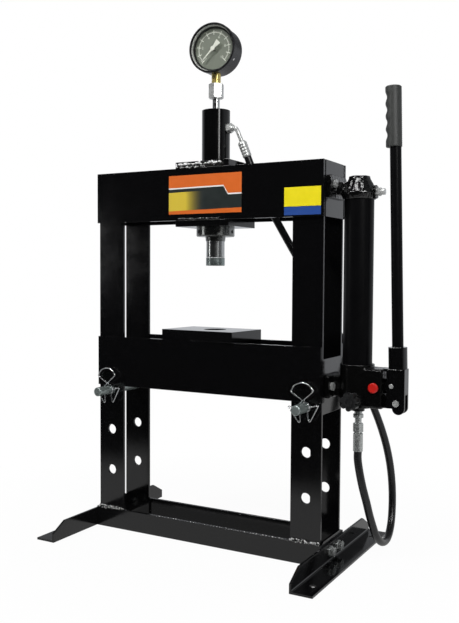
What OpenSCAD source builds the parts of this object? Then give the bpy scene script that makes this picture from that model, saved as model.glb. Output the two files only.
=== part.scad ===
// Bench-top hydraulic press: a welded H-frame with a hand pump, a hose, a ram cylinder and a gauge.
// Millimetres, +Z up, +Y to the back. The origin is on the floor, midway between the feet's four holes.

/* [Frame] */
// Width over the uprights' outer edges
frame_w = 497; // [460:1:560]
// Depth over the front and rear uprights
frame_d = 95; // [88:1:110]
// Height of the head's underside above the floor
head_z = 629; // [600:1:680]
// Height of the head plates
head_h = 100; // [90:1:120]
// How far the head stands past the uprights at each end
head_over = 1.5; // [0:0.5:6]
// Thickness of the head and base plates
plate_t = 6; // [4:0.5:9]
// Thickness of the plates that close the head's ends
head_end_t = 6; // [4:0.5:9]
// Width of an upright bar
upright_w = 60; // [50:1:75]
// Thickness of an upright bar
upright_t = 5; // [4:0.5:8]
// Height of the base plates
base_h = 40; // [36:1:50]
// Thickness of the plates that close the base's ends
base_end_t = 4; // [3:0.5:6]
// How far the base end plates stand above the base plates
base_end_rise = 4; // [0:1:10]

/* [Feet] */
// Length of a foot from front to back
foot_len = 378; // [330:2:450]
// Width of a foot on the floor
foot_w = 42; // [38:1:60]
// Height of a foot's upright leg
foot_h = 36; // [32:1:44]
// Thickness of the foot's angle section
foot_t = 4; // [3:0.5:6]
// Height of the upright leg at the foot's two ends
foot_nose = 17; // [10:1:26]
// Length of the slope at each end of the upright leg
foot_slope = 34; // [10:1:60]
// Diameter of the holes that bolt the feet down
floor_hole_d = 12; // [8:0.5:16]
// Distance between a foot's two floor holes
floor_hole_pitch = 294; // [240:2:310]
// Distance of the floor holes from the foot's heel
floor_hole_in = 25; // [18:1:30]
// Thread diameter of the bolts that hold the feet
foot_bolt_d = 10; // [8:1:12]
// Distance between the two bolts of a foot
foot_bolt_pitch = 38; // [30:1:60]
// Height of the foot bolts
foot_bolt_z = 21; // [16:1:24]

/* [Bed] */
// Height of the bed beams
bed_h = 100; // [80:1:120]
// Thickness of the bed beams
bed_t = 6; // [4:0.5:9]
// Play between the bed beams and the uprights
bed_play = 0.5; // [0.4:0.1:2]
// How far the bed ends short of the uprights' outer edges
bed_short = 0.5; // [0:0.5:10]
// Thickness of the spacers that tie the two bed beams
bed_spacer_t = 6; // [4:1:12]
// Height of the bed spacers
bed_spacer_h = 70; // [40:1:76]
// Gap between a bed spacer and the upright beside it
bed_spacer_gap = 6; // [2:1:20]
// Diameter of the bed pins
pin_d = 18; // [14:1:22]
// Play of a pin in its hole, on the diameter
pin_play = 2; // [1:0.5:4]
// Height of the pins that carry the bed
pin_z = 287; // [250:1:310]
// Distance between two rows of pin holes
pin_pitch = 84; // [60:1:90]
// How far a pin stands out in front of the bed
pin_front = 42; // [34:1:60]
// How far a pin stands out behind the bed
pin_back = 18; // [8:1:40]
// Wire diameter of the pin clips
clip_wire_d = 2.2; // [2:0.1:3]
// Lean of the pin clips to the left, in degrees
clip_lean = 5.5; // [0:0.5:20]
// Length of the loose press plate
press_plate_l = 164; // [130:1:220]
// Width of the loose press plate
press_plate_w = 108; // [96:1:120]
// Thickness of the loose press plate
press_plate_t = 20; // [12:1:30]
// Diameter of the hole in the press plate
press_hole_d = 44; // [40:1:60]
// How far the press plate lies to the left of the ram
press_plate_shift = 8; // [0:1:12]
// Turn of the press plate on the bed, in degrees
press_plate_turn = 3.5; // [0:0.5:6]

/* [Cylinder] */
// Length and thickness of the two plates that hold the barrel
barrel_plate_w = 118; // [100:1:140]
// Thickness of the plates that hold the barrel
barrel_plate_t = 12; // [8:1:16]
// Outer diameter of the barrel
barrel_d = 55; // [50:1:60]
// Bore of the barrel
bore_d = 44; // [42:1:46]
// Height of the barrel above its top plate
barrel_rise = 103; // [95:1:140]
// Thickness of the barrel's closed top
barrel_top_t = 14; // [12:1:20]
// Outer diameter of the lock nut
lock_nut_d = 75; // [66:1:90]
// Height of the lock nut
lock_nut_h = 18; // [14:1:24]
// Diameter of the ram
ram_d = 36; // [34:1:38]
// Bore of the hollow ram
ram_bore_d = 22; // [20:0.5:24]
// How far the retracted ram's nose hangs below the lock nut
ram_show = 57; // [45:1:70]
// Height of the ram's nose piece
nose_h = 17; // [12:1:24]
// Length of the piston on the ram
piston_h = 22; // [16:1:28]
// How far the gland stands out below the lock nut
gland_show = 9; // [5:1:14]
// Length of the gland inside the barrel
gland_h = 24; // [16:1:30]
// Distance of the oil port from the barrel's top
port_drop = 36; // [30:1:42]
// Coils of the return spring
spring_turns = 22; // [16:1:26]
// Outer diameter of the return spring
spring_d = 18; // [16:0.5:19]
// Wire diameter of the return spring
spring_wire_d = 3; // [2:0.2:3.4]

/* [Gauge] */
// Outer diameter of the gauge
gauge_d = 95.5; // [80:0.5:120]
// Depth of the gauge case
gauge_depth = 47; // [42:0.5:52]
// How far the gauge's face stands in front of the stem
gauge_front = 24; // [22:0.5:26]
// Turn of the gauge towards the pump's side, in degrees
gauge_turn = 6; // [0:1:30]
// Height of the pipe above the barrel
gauge_pipe_h = 24; // [20:1:50]
// Diameter of the gauge pipe
gauge_pipe_d = 14; // [11:1:16]
// Height of the hexagonal adapter
adapter_h = 28; // [18:1:34]
// Width of the hexagonal adapter across its flats
adapter_af = 26; // [22:1:30]
// Turn of the hexagonal adapter, in degrees
adapter_turn = 16; // [0:1:60]
// Height of the brass stem below the gauge case
stem_h = 18.5; // [14:0.5:30]
// Diameter of the brass stem
stem_d = 18; // [14:1:20]

/* [Pump] */
// Distance from the uprights' outer edge to the pump's axis
pump_out = 48.5; // [45:0.5:60]
// Height of the pump body's underside
pump_z = 288; // [280:1:300]
// Outer diameter of the reservoir tube
reservoir_d = 53; // [48:1:56]
// Wall thickness of the reservoir tube
reservoir_t = 3; // [2:0.5:5]
// Outer diameter of the collar that holds the reservoir
collar_d = 62; // [60:1:68]
// Depth of the reservoir's seat in the collar
collar_seat = 26; // [16:1:28]
// Distance from the pump's axis to the block's right face
block_reach = 53; // [52:0.5:56]
// Width of the pump block from front to back
block_w = 50; // [44:1:58]
// Height of the pump block
block_h = 70; // [66:1:74]
// Width of the flanges that bolt to the frame
flange_w = 76; // [66:1:80]
// Height of the lower flange
flange_h = 42; // [34:1:46]
// Thickness of the flanges
flange_t = 8; // [6:1:10]
// Thread diameter of the flange bolts
flange_bolt_d = 8; // [6:1:11]
// Distance between a flange's two bolts
flange_bolt_pitch = 46; // [40:1:50]
// Height of the plate between the uprights that carries the pump
mount_plate_h = 100; // [70:1:110]
// Thickness of the plate that carries the pump
mount_plate_t = 6; // [4:0.5:10]
// Height of the cap's flange above the head's underside
cap_flange_up = 36; // [30:1:50]
// Height of the cap above the reservoir tube
cap_h = 36; // [30:1:44]
// Diameter of the cap's flat top
cap_top_d = 38; // [30:1:46]
// Outer diameter of the release knob
knob_d = 33; // [28:1:38]
// Thickness of the release knob
knob_t = 16; // [10:1:22]
// Diameter of the red relief valve cap
relief_d = 18; // [14:1:20]

/* [Lever] */
// Distance from the pump's axis to the fulcrum
fulcrum_out = 76; // [75:0.5:80]
// Height of the fulcrum above the pump body's underside
fulcrum_up = 12.5; // [12:0.5:16]
// Diameter of the fulcrum pin
fulcrum_d = 10; // [8:0.5:12]
// Distance of the plunger pin to the left of the fulcrum
crank_in = 9; // [7:0.5:10]
// Height of the plunger pin above the fulcrum
crank_up = 30; // [29:0.5:31]
// Diameter of the plunger pin
crank_pin_d = 8; // [6:0.5:9]
// Diameter of the plunger
plunger_d = 14; // [12:0.5:16]
// Width of the lever's side plates
cheek_w = 30; // [27:0.5:32]
// Thickness of the lever's side plates
cheek_t = 5; // [4:0.5:7]
// Gap between the lever's side plates
cheek_gap = 14; // [13:0.5:18]
// Thickness of the plate under the handle socket
socket_plate_t = 5; // [4:0.5:8]
// Outer diameter of the handle socket
socket_d = 33; // [28:1:36]
// Height of the handle socket
socket_h = 38; // [30:1:60]
// Diameter of the handle tube
handle_d = 20; // [16:0.5:24]
// Wall thickness of the handle tube
handle_t = 2; // [1.5:0.5:4]
// Length of the handle tube above its socket plate
handle_len = 489; // [400:1:600]
// Lean of the handle towards the frame, in degrees
handle_lean = 1.5; // [0:0.5:4]
// Outer diameter of the grip
grip_d = 28; // [27:0.5:34]
// Shift of the grip towards the fingers' side
grip_shift = 2.9; // [0:0.1:3]
// Length of the grip
grip_len = 108; // [90:1:130]

/* [Hidden] */
$fn = 64;
// Running play of a shaft in its hole, on the radius
run = 0.05;
// Gap between faces of pieces that move past each other
gap = 0.3;
// Gap round a piece that lies in a seat
seat = 0.1;

// Frame planes
up_x = frame_w / 2;
up_in = up_x - upright_w;
up_y = frame_d / 2;
up_yi = up_y - upright_t;
beam_y = up_y + plate_t;
head_x = up_x + head_over;
head_top = head_z + head_h;
base_x = up_x + base_end_t;
foot_x = base_x + foot_w;
floor_hole_x = base_x + floor_hole_in;
foot_end = foot_len / 2;
upright_top_in = 4;

// Bed planes
bed_z = pin_z + pin_d / 2 + gap;
bed_top = bed_z + bed_h;
bed_yi = up_y + bed_play;
bed_y = bed_yi + bed_t;
bed_x = up_x - bed_short;
pin_x = up_x - upright_w / 2;
pin_hole_d = pin_d + pin_play;
pin_rows = 3;
pin_hole_z = pin_z + pin_play / 2 - run;
pin_y0 = -bed_y - pin_front;
pin_y1 = bed_y + pin_back;
clip_y = pin_y0 + pin_front * 0.83;
clip_hole_d = clip_wire_d + 0.6;

// Cylinder levels
barrel_plate_z = head_z - barrel_plate_t;
nut_z = barrel_plate_z - lock_nut_h;
barrel_top = head_top + barrel_plate_t + barrel_rise;
chamber_top = barrel_top - barrel_top_t;
port_z = barrel_top - port_drop;
port_r = 4;
spot_x = barrel_d / 2 - 1.2;
piston_top = port_z - port_r - 6;
nose_z = nut_z - ram_show;
rod_z = nose_z + nose_h;
nose_spigot_d = 16;
nose_spigot_h = 14;
rod_floor = rod_z + nose_spigot_h + 6;
plug_d = spring_d - 2 * spring_wire_d - 0.4;
plug_h = 14;
spring_z0 = rod_floor + spring_wire_d / 2 + seat;
spring_z1 = chamber_top - spring_wire_d / 2 - seat;

// Gauge levels
adapter_z = barrel_top + gauge_pipe_h;
stem_z = adapter_z + adapter_h;
gauge_r = gauge_d / 2;
bezel_t = gauge_d * 0.016;
gauge_z = stem_z + stem_h + gauge_r - bezel_t;
case_r = gauge_r - bezel_t;
case_t = gauge_d * 0.02;
gauge_back = gauge_depth - gauge_front;
dial_depth = gauge_front / 2;
dial_t = 1;
dial_y = dial_depth - gauge_front;
lens_depth = bezel_t;
lens_t = 2;
lens_r = case_r - case_t / 2;
bezel_depth = gauge_front / 2;
arbor_d = 4;
socket_half = 7;
socket_y = 1;
socket_t = 7;

// Pump places
pump_x = up_x + pump_out;
block_x = pump_x + block_reach;
block_y = block_w / 2;
block_z = pump_z + 2;
block_top = block_z + block_h;
flange_z = pump_z + 15;
flange_bolt_z = flange_z + flange_h / 2;
cap_flange_z = head_z + cap_flange_up;
tube_z1 = cap_flange_z;
cap_bolt_up = 23;
cap_bolt_z = cap_flange_z + cap_bolt_up;
mount_plate_z = flange_bolt_z - mount_plate_h / 2;
bore_z = pump_z + fulcrum_up + crank_up - 1.5;
tube_z0 = bore_z + plunger_d / 2 + 4;
collar_h = tube_z0 + collar_seat - pump_z;
valve_x = pump_x + 4;
valve_z = pump_z + 15;
valve_d = 10;
valve_boss_d = 24;
boss_y = block_y + 11;
hose_x = pump_x + 3;
hose_boss_d = 23;
hose_boss_h = 9;
relief_out = 39;
relief_up = 39;
relief_x = pump_x + relief_out;
relief_z = pump_z + relief_up;
vent_z = tube_z1 + 7;
cap_rim_d = reservoir_d + 13;
plug_rim_d = 24;
vent_boss_d = 20;
vent_x = pump_x + reservoir_d / 2 + 0.5;
plug_t = 5.5;

// Lever places
ful_x = pump_x + fulcrum_out;
ful_z = pump_z + fulcrum_up;
crank_x = ful_x - crank_in;
crank_z = ful_z + crank_up;
cheek_yi = cheek_gap / 2;
cheek_y = cheek_yi + cheek_t;
cheek_r = cheek_w / 2;
cheek_left = cheek_r + 3;
ear_r = 11;
ear_drop = 8.5;
plate_drop = 4;
socket_plate_z = block_top - plate_drop;
socket_z = socket_plate_z + socket_plate_t;
web_z = ful_z + 15;
slot_play = 1.2;
slot_w = crank_pin_d + 2 * slot_play;
slot_rise = 6.5;
eye_r = slot_w / 2 + 4;
gland_t = 4;

// Hose route from the pump's fitting to the cylinder's fitting, and its size
hose_d = 14.5;
hose_route = [
    [300, 0, 207], [300, 0, 192], [303, 1, 170], [308, 4, 142], [314, 10, 112], [318, 22, 79],
    [322, 43, 43], [324, 71, 23], [324, 103, 21.5], [322, 130, 40], [319, 147, 74], [316, 153, 113],
    [312, 151, 153], [306, 144, 192], [298, 133, 230], [288, 119, 268], [275, 103, 310],
    [258, 88, 354], [238, 75, 400], [214, 65, 448], [189, 57, 497], [163, 48, 545],
    [137, 40, 592], [111, 30, 642], [88, 20, 692], [72, 11, 735], [66, 8, 752]
];
hose_sides = 10;
hose_from = hose_route[0];
hose_to = hose_route[len(hose_route) - 1];
hose_end_dir = unit(hose_to - hose_route[len(hose_route) - 2]);
sleeve_d = 17.5;
sleeve_h = 35;
sleeve_taper = 3;
upper_sleeve_h = 32;
swivel_af = 17;
swivel_h = 16;
pipe_d = 8;

// Finishes
gloss_black = "#121314";
cast_black = "#1b1c1d";
zinc = "#b9bcbd";
steel = "#8b9092";
brass = "#c2a044";

// Helpers

function unit(v) = v / norm(v);

// A box between two corners
module block(a, b) {
    translate(a)
        cube(b - a);
}

module both_sides() {
    children();
    mirror([1, 0, 0])
        children();
}

// A flat outline in X and Z, carried along Y
module along_y(y0, y1) {
    translate([0, y1, 0])
        rotate([90, 0, 0])
            linear_extrude(y1 - y0)
                children();
}

// A flat outline in Y and Z, carried along X
module along_x(x0, x1) {
    translate([x0, 0, 0])
        rotate([90, 0, 90])
            linear_extrude(x1 - x0)
                children();
}

module rod_y(x, z, d, y0, y1) {
    translate([x, y1, z])
        rotate([90, 0, 0])
            cylinder(d = d, h = y1 - y0);
}

module rod_x(y, z, d, x0, x1) {
    translate([x0, y, z])
        rotate([0, 90, 0])
            cylinder(d = d, h = x1 - x0);
}

// A rod between any two points, with a diameter at each end
module rod(p, q, d, d_end) {
    v = q - p;
    translate(p)
        rotate([0, acos(v[2] / norm(v)), atan2(v[1], v[0])])
            cylinder(d1 = d, d2 = d_end, h = norm(v));
}

module hex(af, h) {
    cylinder(d = af / cos(30), h = h, $fn = 6);
}

// A hexagon with its corners turned off at both ends
module turned_hex(af, h) {
    r = af / 2;
    corner = r / cos(30) + 0.1;
    cut = (corner - r) * 0.6;
    intersection() {
        hex(af, h);
        rotate_extrude()
            polygon([[0, 0], [r, 0], [corner, cut], [corner, h - cut], [r, h], [0, h]]);
    }
}

module hex_x(y, z, af, x0, x1) {
    translate([x0, y, z])
        rotate([0, 90, 0])
            hex(af, x1 - x0);
}

module ring(d, bore, h) {
    difference() {
        cylinder(d = d, h = h);
        translate([0, 0, -1])
            cylinder(d = bore, h = h + 2);
    }
}

// A rectangle with round corners, from its lower left corner
module round_rect(w, h, r) {
    translate([r, 0])
        square([w - 2 * r, h]);
    translate([0, r])
        square([w, h - 2 * r]);
    for (x = [r, w - r], y = [r, h - r])
        translate([x, y])
            circle(r);
}

// Points and directions of a smooth curve through a list of points
function knot(p, i) =
    i < 0 ? 2 * p[0] - p[1] :
    i > len(p) - 1 ? 2 * p[len(p) - 1] - p[len(p) - 2] : p[i];
function curve_at(p, i, t) =
    let (a = knot(p, i - 1), b = knot(p, i), c = knot(p, i + 1), d = knot(p, i + 2))
    (2 * b + (c - a) * t + (2 * a - 5 * b + 4 * c - d) * t * t + (3 * b - a - 3 * c + d) * t * t * t) / 2;
function curve_dir(p, i, t) =
    let (a = knot(p, i - 1), b = knot(p, i), c = knot(p, i + 1), d = knot(p, i + 2))
    unit((c - a) + 2 * (2 * a - 5 * b + 4 * c - d) * t + 3 * (3 * b - a - 3 * c + d) * t * t);

// A round tube through rings, each given as [centre, direction]; side is never along the curve
module sweep(rings, d, sides, side) {
    n = len(rings);
    points = [
        for (g = rings)
            let (u = unit(cross(g[1], side)), v = cross(g[1], u))
            for (k = [0 : sides - 1])
                g[0] + (u * cos(360 * k / sides) + v * sin(360 * k / sides)) * d / 2
    ];
    walls = [
        for (i = [0 : n - 2], k = [0 : sides - 1])
            let (a = i * sides + k, b = i * sides + (k + 1) % sides)
            each [[a, a + sides, b], [b, a + sides, b + sides]]
    ];
    first = [for (k = [0 : sides - 1]) k];
    last = [for (k = [sides - 1 : -1 : 0]) (n - 1) * sides + k];
    polyhedron(points, concat(walls, [first], [last]), convexity = 8);
}

// Rings of a curve, with a number of steps between each two points
function curve_rings(p, steps) = concat(
    [for (i = [0 : len(p) - 2], s = [0 : steps - 1]) [curve_at(p, i, s / steps), curve_dir(p, i, s / steps)]],
    [[p[len(p) - 1], unit(p[len(p) - 1] - p[len(p) - 2])]]
);

// Frame

module upright() {
    along_y(-up_y, -up_yi)
        difference() {
            translate([up_in, 0])
                square([upright_w, head_top - upright_top_in]);
            for (row = [0 : pin_rows - 1])
                translate([pin_x, pin_hole_z - row * pin_pitch])
                    circle(d = pin_hole_d);
        }
}

module upright_front_left() {
    color(gloss_black)
        mirror([1, 0, 0])
            upright();
}

module upright_front_right() {
    color(gloss_black)
        upright();
}

module upright_rear_left() {
    color(gloss_black)
        rotate([0, 0, 180])
            upright();
}

module upright_rear_right() {
    color(gloss_black)
        mirror([0, 1, 0])
            upright();
}

module head_front_plate() {
    color(gloss_black)
        block([-head_x, -beam_y, head_z], [head_x, -up_y, head_top]);
}

module head_rear_plate() {
    color(gloss_black)
        block([-head_x, up_y, head_z], [head_x, beam_y, head_top]);
}

module head_end_plates() {
    color(gloss_black)
        difference() {
            both_sides()
                block([head_x - head_end_t, -up_yi, head_z], [head_x, up_yi, head_top]);
            for (y = [-1, 1])
                rod_x(y * flange_bolt_pitch / 2, cap_bolt_z, flange_bolt_d + 2 * seat,
                      head_x - head_end_t - 1, head_x + 1);
        }
}

module barrel_plate(z) {
    difference() {
        block([-barrel_plate_w / 2, -beam_y, z], [barrel_plate_w / 2, beam_y, z + barrel_plate_t]);
        translate([0, 0, z - 1])
            cylinder(d = barrel_d + 2 * seat, h = barrel_plate_t + 2);
    }
}

module barrel_top_plate() {
    color(gloss_black)
        barrel_plate(head_top);
}

module barrel_bottom_plate() {
    color(gloss_black)
        barrel_plate(barrel_plate_z);
}

module base_front_plate() {
    color(gloss_black)
        block([-base_x, -beam_y, 0], [base_x, -up_y, base_h]);
}

module base_rear_plate() {
    color(gloss_black)
        block([-base_x, up_y, 0], [base_x, beam_y, base_h]);
}

module base_end_plates() {
    corner = 8;
    color(gloss_black)
        both_sides()
            difference() {
                along_x(up_x, base_x)
                    difference() {
                        translate([-up_y, 0])
                            square([frame_d, base_h + base_end_rise]);
                        for (s = [-1, 1])
                            translate([s * up_y, base_h + base_end_rise])
                                rotate(45)
                                    square(corner, center = true);
                    }
                foot_bolt_holes();
            }
}

// Feet

module foot_bolt_holes() {
    for (s = [-1, 1])
        rod_x(s * foot_bolt_pitch / 2, foot_bolt_z, foot_bolt_d + 2 * seat, up_x - 1, base_x + foot_t + 1);
}

module foot() {
    difference() {
        union() {
            block([base_x, -foot_end, 0], [foot_x, foot_end, foot_t]);
            along_y(-foot_end, foot_end)
                translate([base_x + foot_t, foot_t])
                    difference() {
                        square(foot_t);
                        translate([foot_t, foot_t])
                            circle(foot_t);
                    }
            along_x(base_x, base_x + foot_t)
                polygon([
                    [-foot_end, 0], [foot_end, 0], [foot_end, foot_nose], [foot_end - foot_slope, foot_h],
                    [foot_slope - foot_end, foot_h], [-foot_end, foot_nose]
                ]);
        }
        for (s = [-1, 1])
            translate([floor_hole_x, s * floor_hole_pitch / 2, -1])
                cylinder(d = floor_hole_d, h = foot_t + 2);
        foot_bolt_holes();
    }
}

module foot_left() {
    color(gloss_black)
        mirror([1, 0, 0])
            foot();
}

module foot_right() {
    color(gloss_black)
        foot();
}

// Hexagon bolts with a washer, and their nuts inside the base
module foot_bolts() {
    washer_t = 2;
    head_t = 7;
    nut_t = 8;
    af = foot_bolt_d * 1.6;
    out = base_x + foot_t;
    color(zinc)
        both_sides()
            for (s = [-1, 1])
                let (y = s * foot_bolt_pitch / 2) {
                    rod_x(y, foot_bolt_z, foot_bolt_d, up_x - nut_t - 3, out + 1);
                    rod_x(y, foot_bolt_z, foot_bolt_d * 2, out, out + washer_t);
                    hex_x(y, foot_bolt_z, af, out + washer_t, out + washer_t + head_t);
                    hex_x(y, foot_bolt_z, af, up_x - nut_t, up_x);
                }
}

// Bed

module bed_front_beam() {
    color(gloss_black)
        block([-bed_x, -bed_y, bed_z], [bed_x, -bed_yi, bed_top]);
}

module bed_rear_beam() {
    color(gloss_black)
        block([-bed_x, bed_yi, bed_z], [bed_x, bed_y, bed_top]);
}

module bed_spacers() {
    x1 = up_in - bed_spacer_gap;
    z0 = bed_z + (bed_h - bed_spacer_h) / 2;
    color(gloss_black)
        both_sides()
            block([x1 - bed_spacer_t, -bed_yi, z0], [x1, bed_yi, z0 + bed_spacer_h]);
}

module press_plate() {
    color(steel)
        difference() {
            translate([-press_plate_shift, 0, bed_top])
                rotate([0, 0, -press_plate_turn])
                    translate([-press_plate_l / 2, -press_plate_w / 2, 0])
                        cube([press_plate_l, press_plate_w, press_plate_t]);
            translate([0, 0, bed_top - 1])
                cylinder(d = press_hole_d, h = press_plate_t + 2);
        }
}

module bed_pin() {
    chamfer = 1.5;
    color(zinc)
        difference() {
            translate([pin_x, pin_y1, pin_z])
                rotate([90, 0, 0])
                    rotate_extrude()
                        polygon([
                            [0, 0], [pin_d / 2 - chamfer, 0], [pin_d / 2, chamfer],
                            [pin_d / 2, pin_y1 - pin_y0 - chamfer],
                            [pin_d / 2 - chamfer, pin_y1 - pin_y0], [0, pin_y1 - pin_y0]
                        ]);
            translate([pin_x, clip_y, pin_z])
                rotate([0, -clip_lean, 0])
                    rotate([0, 90, 0])
                        cylinder(d = clip_hole_d, h = 2 * pin_d, center = true);
        }
}

module bed_pin_left() {
    translate([-2 * pin_x, 0, 0])
        bed_pin();
}

module bed_pin_right() {
    bed_pin();
}

// One bent wire: each end enters the pin's cross hole, wraps the pin and meets over it in a finger loop
module pin_clip() {
    hug = pin_d / 2 + clip_wire_d / 2 + 0.4;
    off = clip_wire_d / 2 + 1.5;
    wing_x = pin_d / 2 + 19;
    wing_z = pin_d * 0.19;
    tip_x = pin_d / 2 + 0.7;
    tip_z = -pin_d / 2 - 16;
    loop_r = 21.2;
    loop_z = pin_d * 1.6;
    loop_h = 16.3;
    half = concat(
        [[2, 0, 0], [pin_d / 2 + 1, 0, 0], [wing_x * 0.65, 0, wing_z * 0.5], [wing_x - 2.5, 0, wing_z]],
        [[wing_x, 0, wing_z - 0.6], [wing_x - 0.3, 0, wing_z - 3.2]],
        [[tip_x + 2.8, off * 0.5, tip_z + 2.8], [tip_x, off * 0.7, tip_z]],
        [[tip_x - 2.6, off * 0.9, tip_z + 2.6]],
        [for (a = [-52, -26, 0, 26, 52]) [hug * cos(a), off, hug * sin(a)]],
        [for (a = [182, 164, 140, 116]) [loop_r * cos(a), off * (a - 90) / 92, loop_z + loop_h * sin(a)]]
    );
    n = len(half);
    other = [for (i = [n - 1 : -1 : 0]) [-half[i][0], -half[i][1], half[i][2]]];
    wire = concat(half, [[0, 0, loop_z + loop_h]], other);
    color(zinc)
        translate([pin_x, clip_y, pin_z])
            rotate([0, -clip_lean, 0])
                sweep(curve_rings(wire, 2), clip_wire_d, 8, [0, 1, 0]);
}

module pin_clip_left() {
    translate([-2 * pin_x, 0, 0])
        pin_clip();
}

module pin_clip_right() {
    pin_clip();
}

// Cylinder

module cylinder_barrel() {
    color(gloss_black)
        difference() {
            union() {
                difference() {
                    translate([0, 0, nut_z])
                        cylinder(d = barrel_d, h = barrel_top - nut_z);
                    translate([0, 0, nut_z - 1])
                        cylinder(d = bore_d, h = chamber_top - nut_z + 1);
                }
                translate([0, 0, chamber_top - plug_h])
                    cylinder(d = plug_d, h = plug_h + 1);
            }
            rod_x(0, port_z, 2 * port_r, 0, barrel_d);
            rod_x(0, port_z, 22, spot_x, barrel_d);
            translate([0, 0, barrel_top - barrel_top_t * 0.7])
                cylinder(d = gauge_pipe_d + 2 * seat, h = barrel_top_t);
            translate([0, 0, chamber_top - plug_h - 1])
                cylinder(d = 3, h = plug_h + barrel_top_t);
        }
}

// Round nut with holes for a pin spanner
module lock_nut() {
    holes = 6;
    color(steel)
        difference() {
            translate([0, 0, nut_z])
                rotate_extrude()
                    polygon([
                        [barrel_d / 2 + seat, 0], [lock_nut_d / 2 - 1.5, 0], [lock_nut_d / 2, 1.5],
                        [lock_nut_d / 2, lock_nut_h], [barrel_d / 2 + seat, lock_nut_h]
                    ]);
            for (k = [0 : holes - 1])
                rotate([0, 0, -60 + k * 360 / holes])
                    rod_x(0, nut_z + lock_nut_h / 2, 7, lock_nut_d / 2 - 7, lock_nut_d);
        }
}

module cylinder_gland() {
    color(steel)
        difference() {
            union() {
                translate([0, 0, nut_z])
                    cylinder(d = bore_d - 2 * seat, h = gland_h);
                translate([0, 0, nut_z - gland_show])
                    cylinder(d1 = ram_d + 2, d2 = ram_d + 4, h = gland_show);
            }
            translate([0, 0, nut_z - gland_show - 1])
                cylinder(d = ram_d + 2 * run, h = gland_h + gland_show + 2);
        }
}

module ram() {
    groove_h = 5;
    seal_z = piston_top - piston_h / 2 - groove_h / 2;
    color(steel)
        difference() {
            union() {
                translate([0, 0, rod_z])
                    cylinder(d = ram_d, h = piston_top - rod_z);
                translate([0, 0, piston_top - piston_h])
                    cylinder(d = bore_d - 2 * gap, h = piston_h);
            }
            difference() {
                translate([0, 0, rod_floor])
                    cylinder(d = ram_bore_d, h = piston_top - rod_floor + 1);
                translate([0, 0, rod_floor - 1])
                    cylinder(d = plug_d, h = plug_h + 1);
            }
            translate([0, 0, rod_z - 1])
                cylinder(d = nose_spigot_d + 2 * seat, h = nose_spigot_h + 2);
            translate([0, 0, seal_z])
                ring(bore_d + 2, bore_d - 7, groove_h);
        }
}

module ram_nose() {
    neck = 2;
    color(steel)
        translate([0, 0, nose_z])
            rotate_extrude()
                polygon([
                    [0, 0], [ram_d / 2 - 0.5, 0], [ram_d / 2 + 0.5, 1], [ram_d / 2 + 0.5, nose_h - neck],
                    [ram_d / 2 - neck, nose_h - neck], [ram_d / 2 - neck, nose_h],
                    [nose_spigot_d / 2, nose_h], [nose_spigot_d / 2, nose_h + nose_spigot_h],
                    [0, nose_h + nose_spigot_h]
                ]);
}

module piston_seal() {
    seal_h = 4.6;
    color("#2a2a2a")
        translate([0, 0, piston_top - piston_h / 2 - seal_h / 2])
            ring(bore_d - 2 * run, bore_d - 7 + 2 * seat, seal_h);
}

// Extension spring inside the hollow ram, screwed on a plug at each end
module return_spring() {
    steps = 14;
    r = (spring_d - spring_wire_d) / 2;
    n = spring_turns * steps;
    rise = spring_z1 - spring_z0;
    rings = [
        for (i = [0 : n])
            let (a = 360 * i / steps)
            [[r * cos(a), r * sin(a), spring_z0 + rise * i / n],
             unit([-sin(a), cos(a), rise / (n * 2 * PI * r / steps)])]
    ];
    color(zinc)
        sweep(rings, spring_wire_d, 6, [0, 0, 1]);
}

// Gauge

module gauge_pipe() {
    screwed = barrel_top_t * 0.7 - seat;
    color(zinc)
        translate([0, 0, barrel_top - screwed])
            ring(gauge_pipe_d, gauge_pipe_d - 5, gauge_pipe_h + screwed);
}

module gauge_adapter() {
    color(zinc)
        translate([0, 0, adapter_z])
            difference() {
                rotate([0, 0, -adapter_turn])
                    turned_hex(adapter_af, adapter_h);
                translate([0, 0, -1])
                    cylinder(d = gauge_pipe_d - 5, h = adapter_h + 2);
            }
}

// Turns the gauge's pieces about the stem
module on_gauge() {
    rotate([0, 0, gauge_turn])
        children();
}

// Turned stem with the socket block that carries the tube and the needle's arbor
module gauge_stem() {
    stem_r = stem_d / 2;
    collar = stem_h / 3;
    top = stem_h + case_t * 0.8;
    color(brass)
        on_gauge()
            difference() {
                union() {
                    translate([0, 0, stem_z])
                        rotate_extrude()
                            polygon([
                                [0, 0], [stem_r - 0.6, 0], [stem_r, 0.6], [stem_r, collar],
                                [stem_r - 1.2, collar + 0.4], [stem_r - 1.2, collar + 1.6],
                                [stem_r, collar + 2], [stem_r, top], [0, top]
                            ]);
                    translate([0, socket_y + socket_t / 2, stem_z + stem_h])
                        cylinder(d = socket_t, h = 6);
                    block([-socket_half, socket_y, stem_z + stem_h + 4],
                          [socket_half, socket_y + socket_t, gauge_z + socket_half]);
                }
                rod_y(0, gauge_z, arbor_d + 2 * run, socket_y - 1, socket_y + socket_t + 1);
                translate([0, 0, stem_z - 1])
                    cylinder(d = 5, h = stem_h - 2);
            }
}

module bourdon_tube() {
    r = case_r * 0.7;
    flat_w = 4;
    flat_h = 9;
    start = -acos((socket_half + gap) / (r - flat_w / 2));
    color(brass)
        on_gauge()
            translate([0, socket_y + socket_t / 2, gauge_z])
                rotate([90, 0, 0])
                    rotate([0, 0, start])
                        rotate_extrude(angle = 250)
                            translate([r - flat_w / 2, -flat_h / 2])
                                round_rect(flat_w, flat_h, flat_w / 2 - 0.2);
}

// Revolved shape on the gauge's axis: [radius, depth behind the gauge's face]
module gauge_turned(outline) {
    on_gauge()
        translate([0, -gauge_front, gauge_z])
            rotate([-90, 0, 0])
                rotate_extrude()
                    polygon(outline);
}

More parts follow.
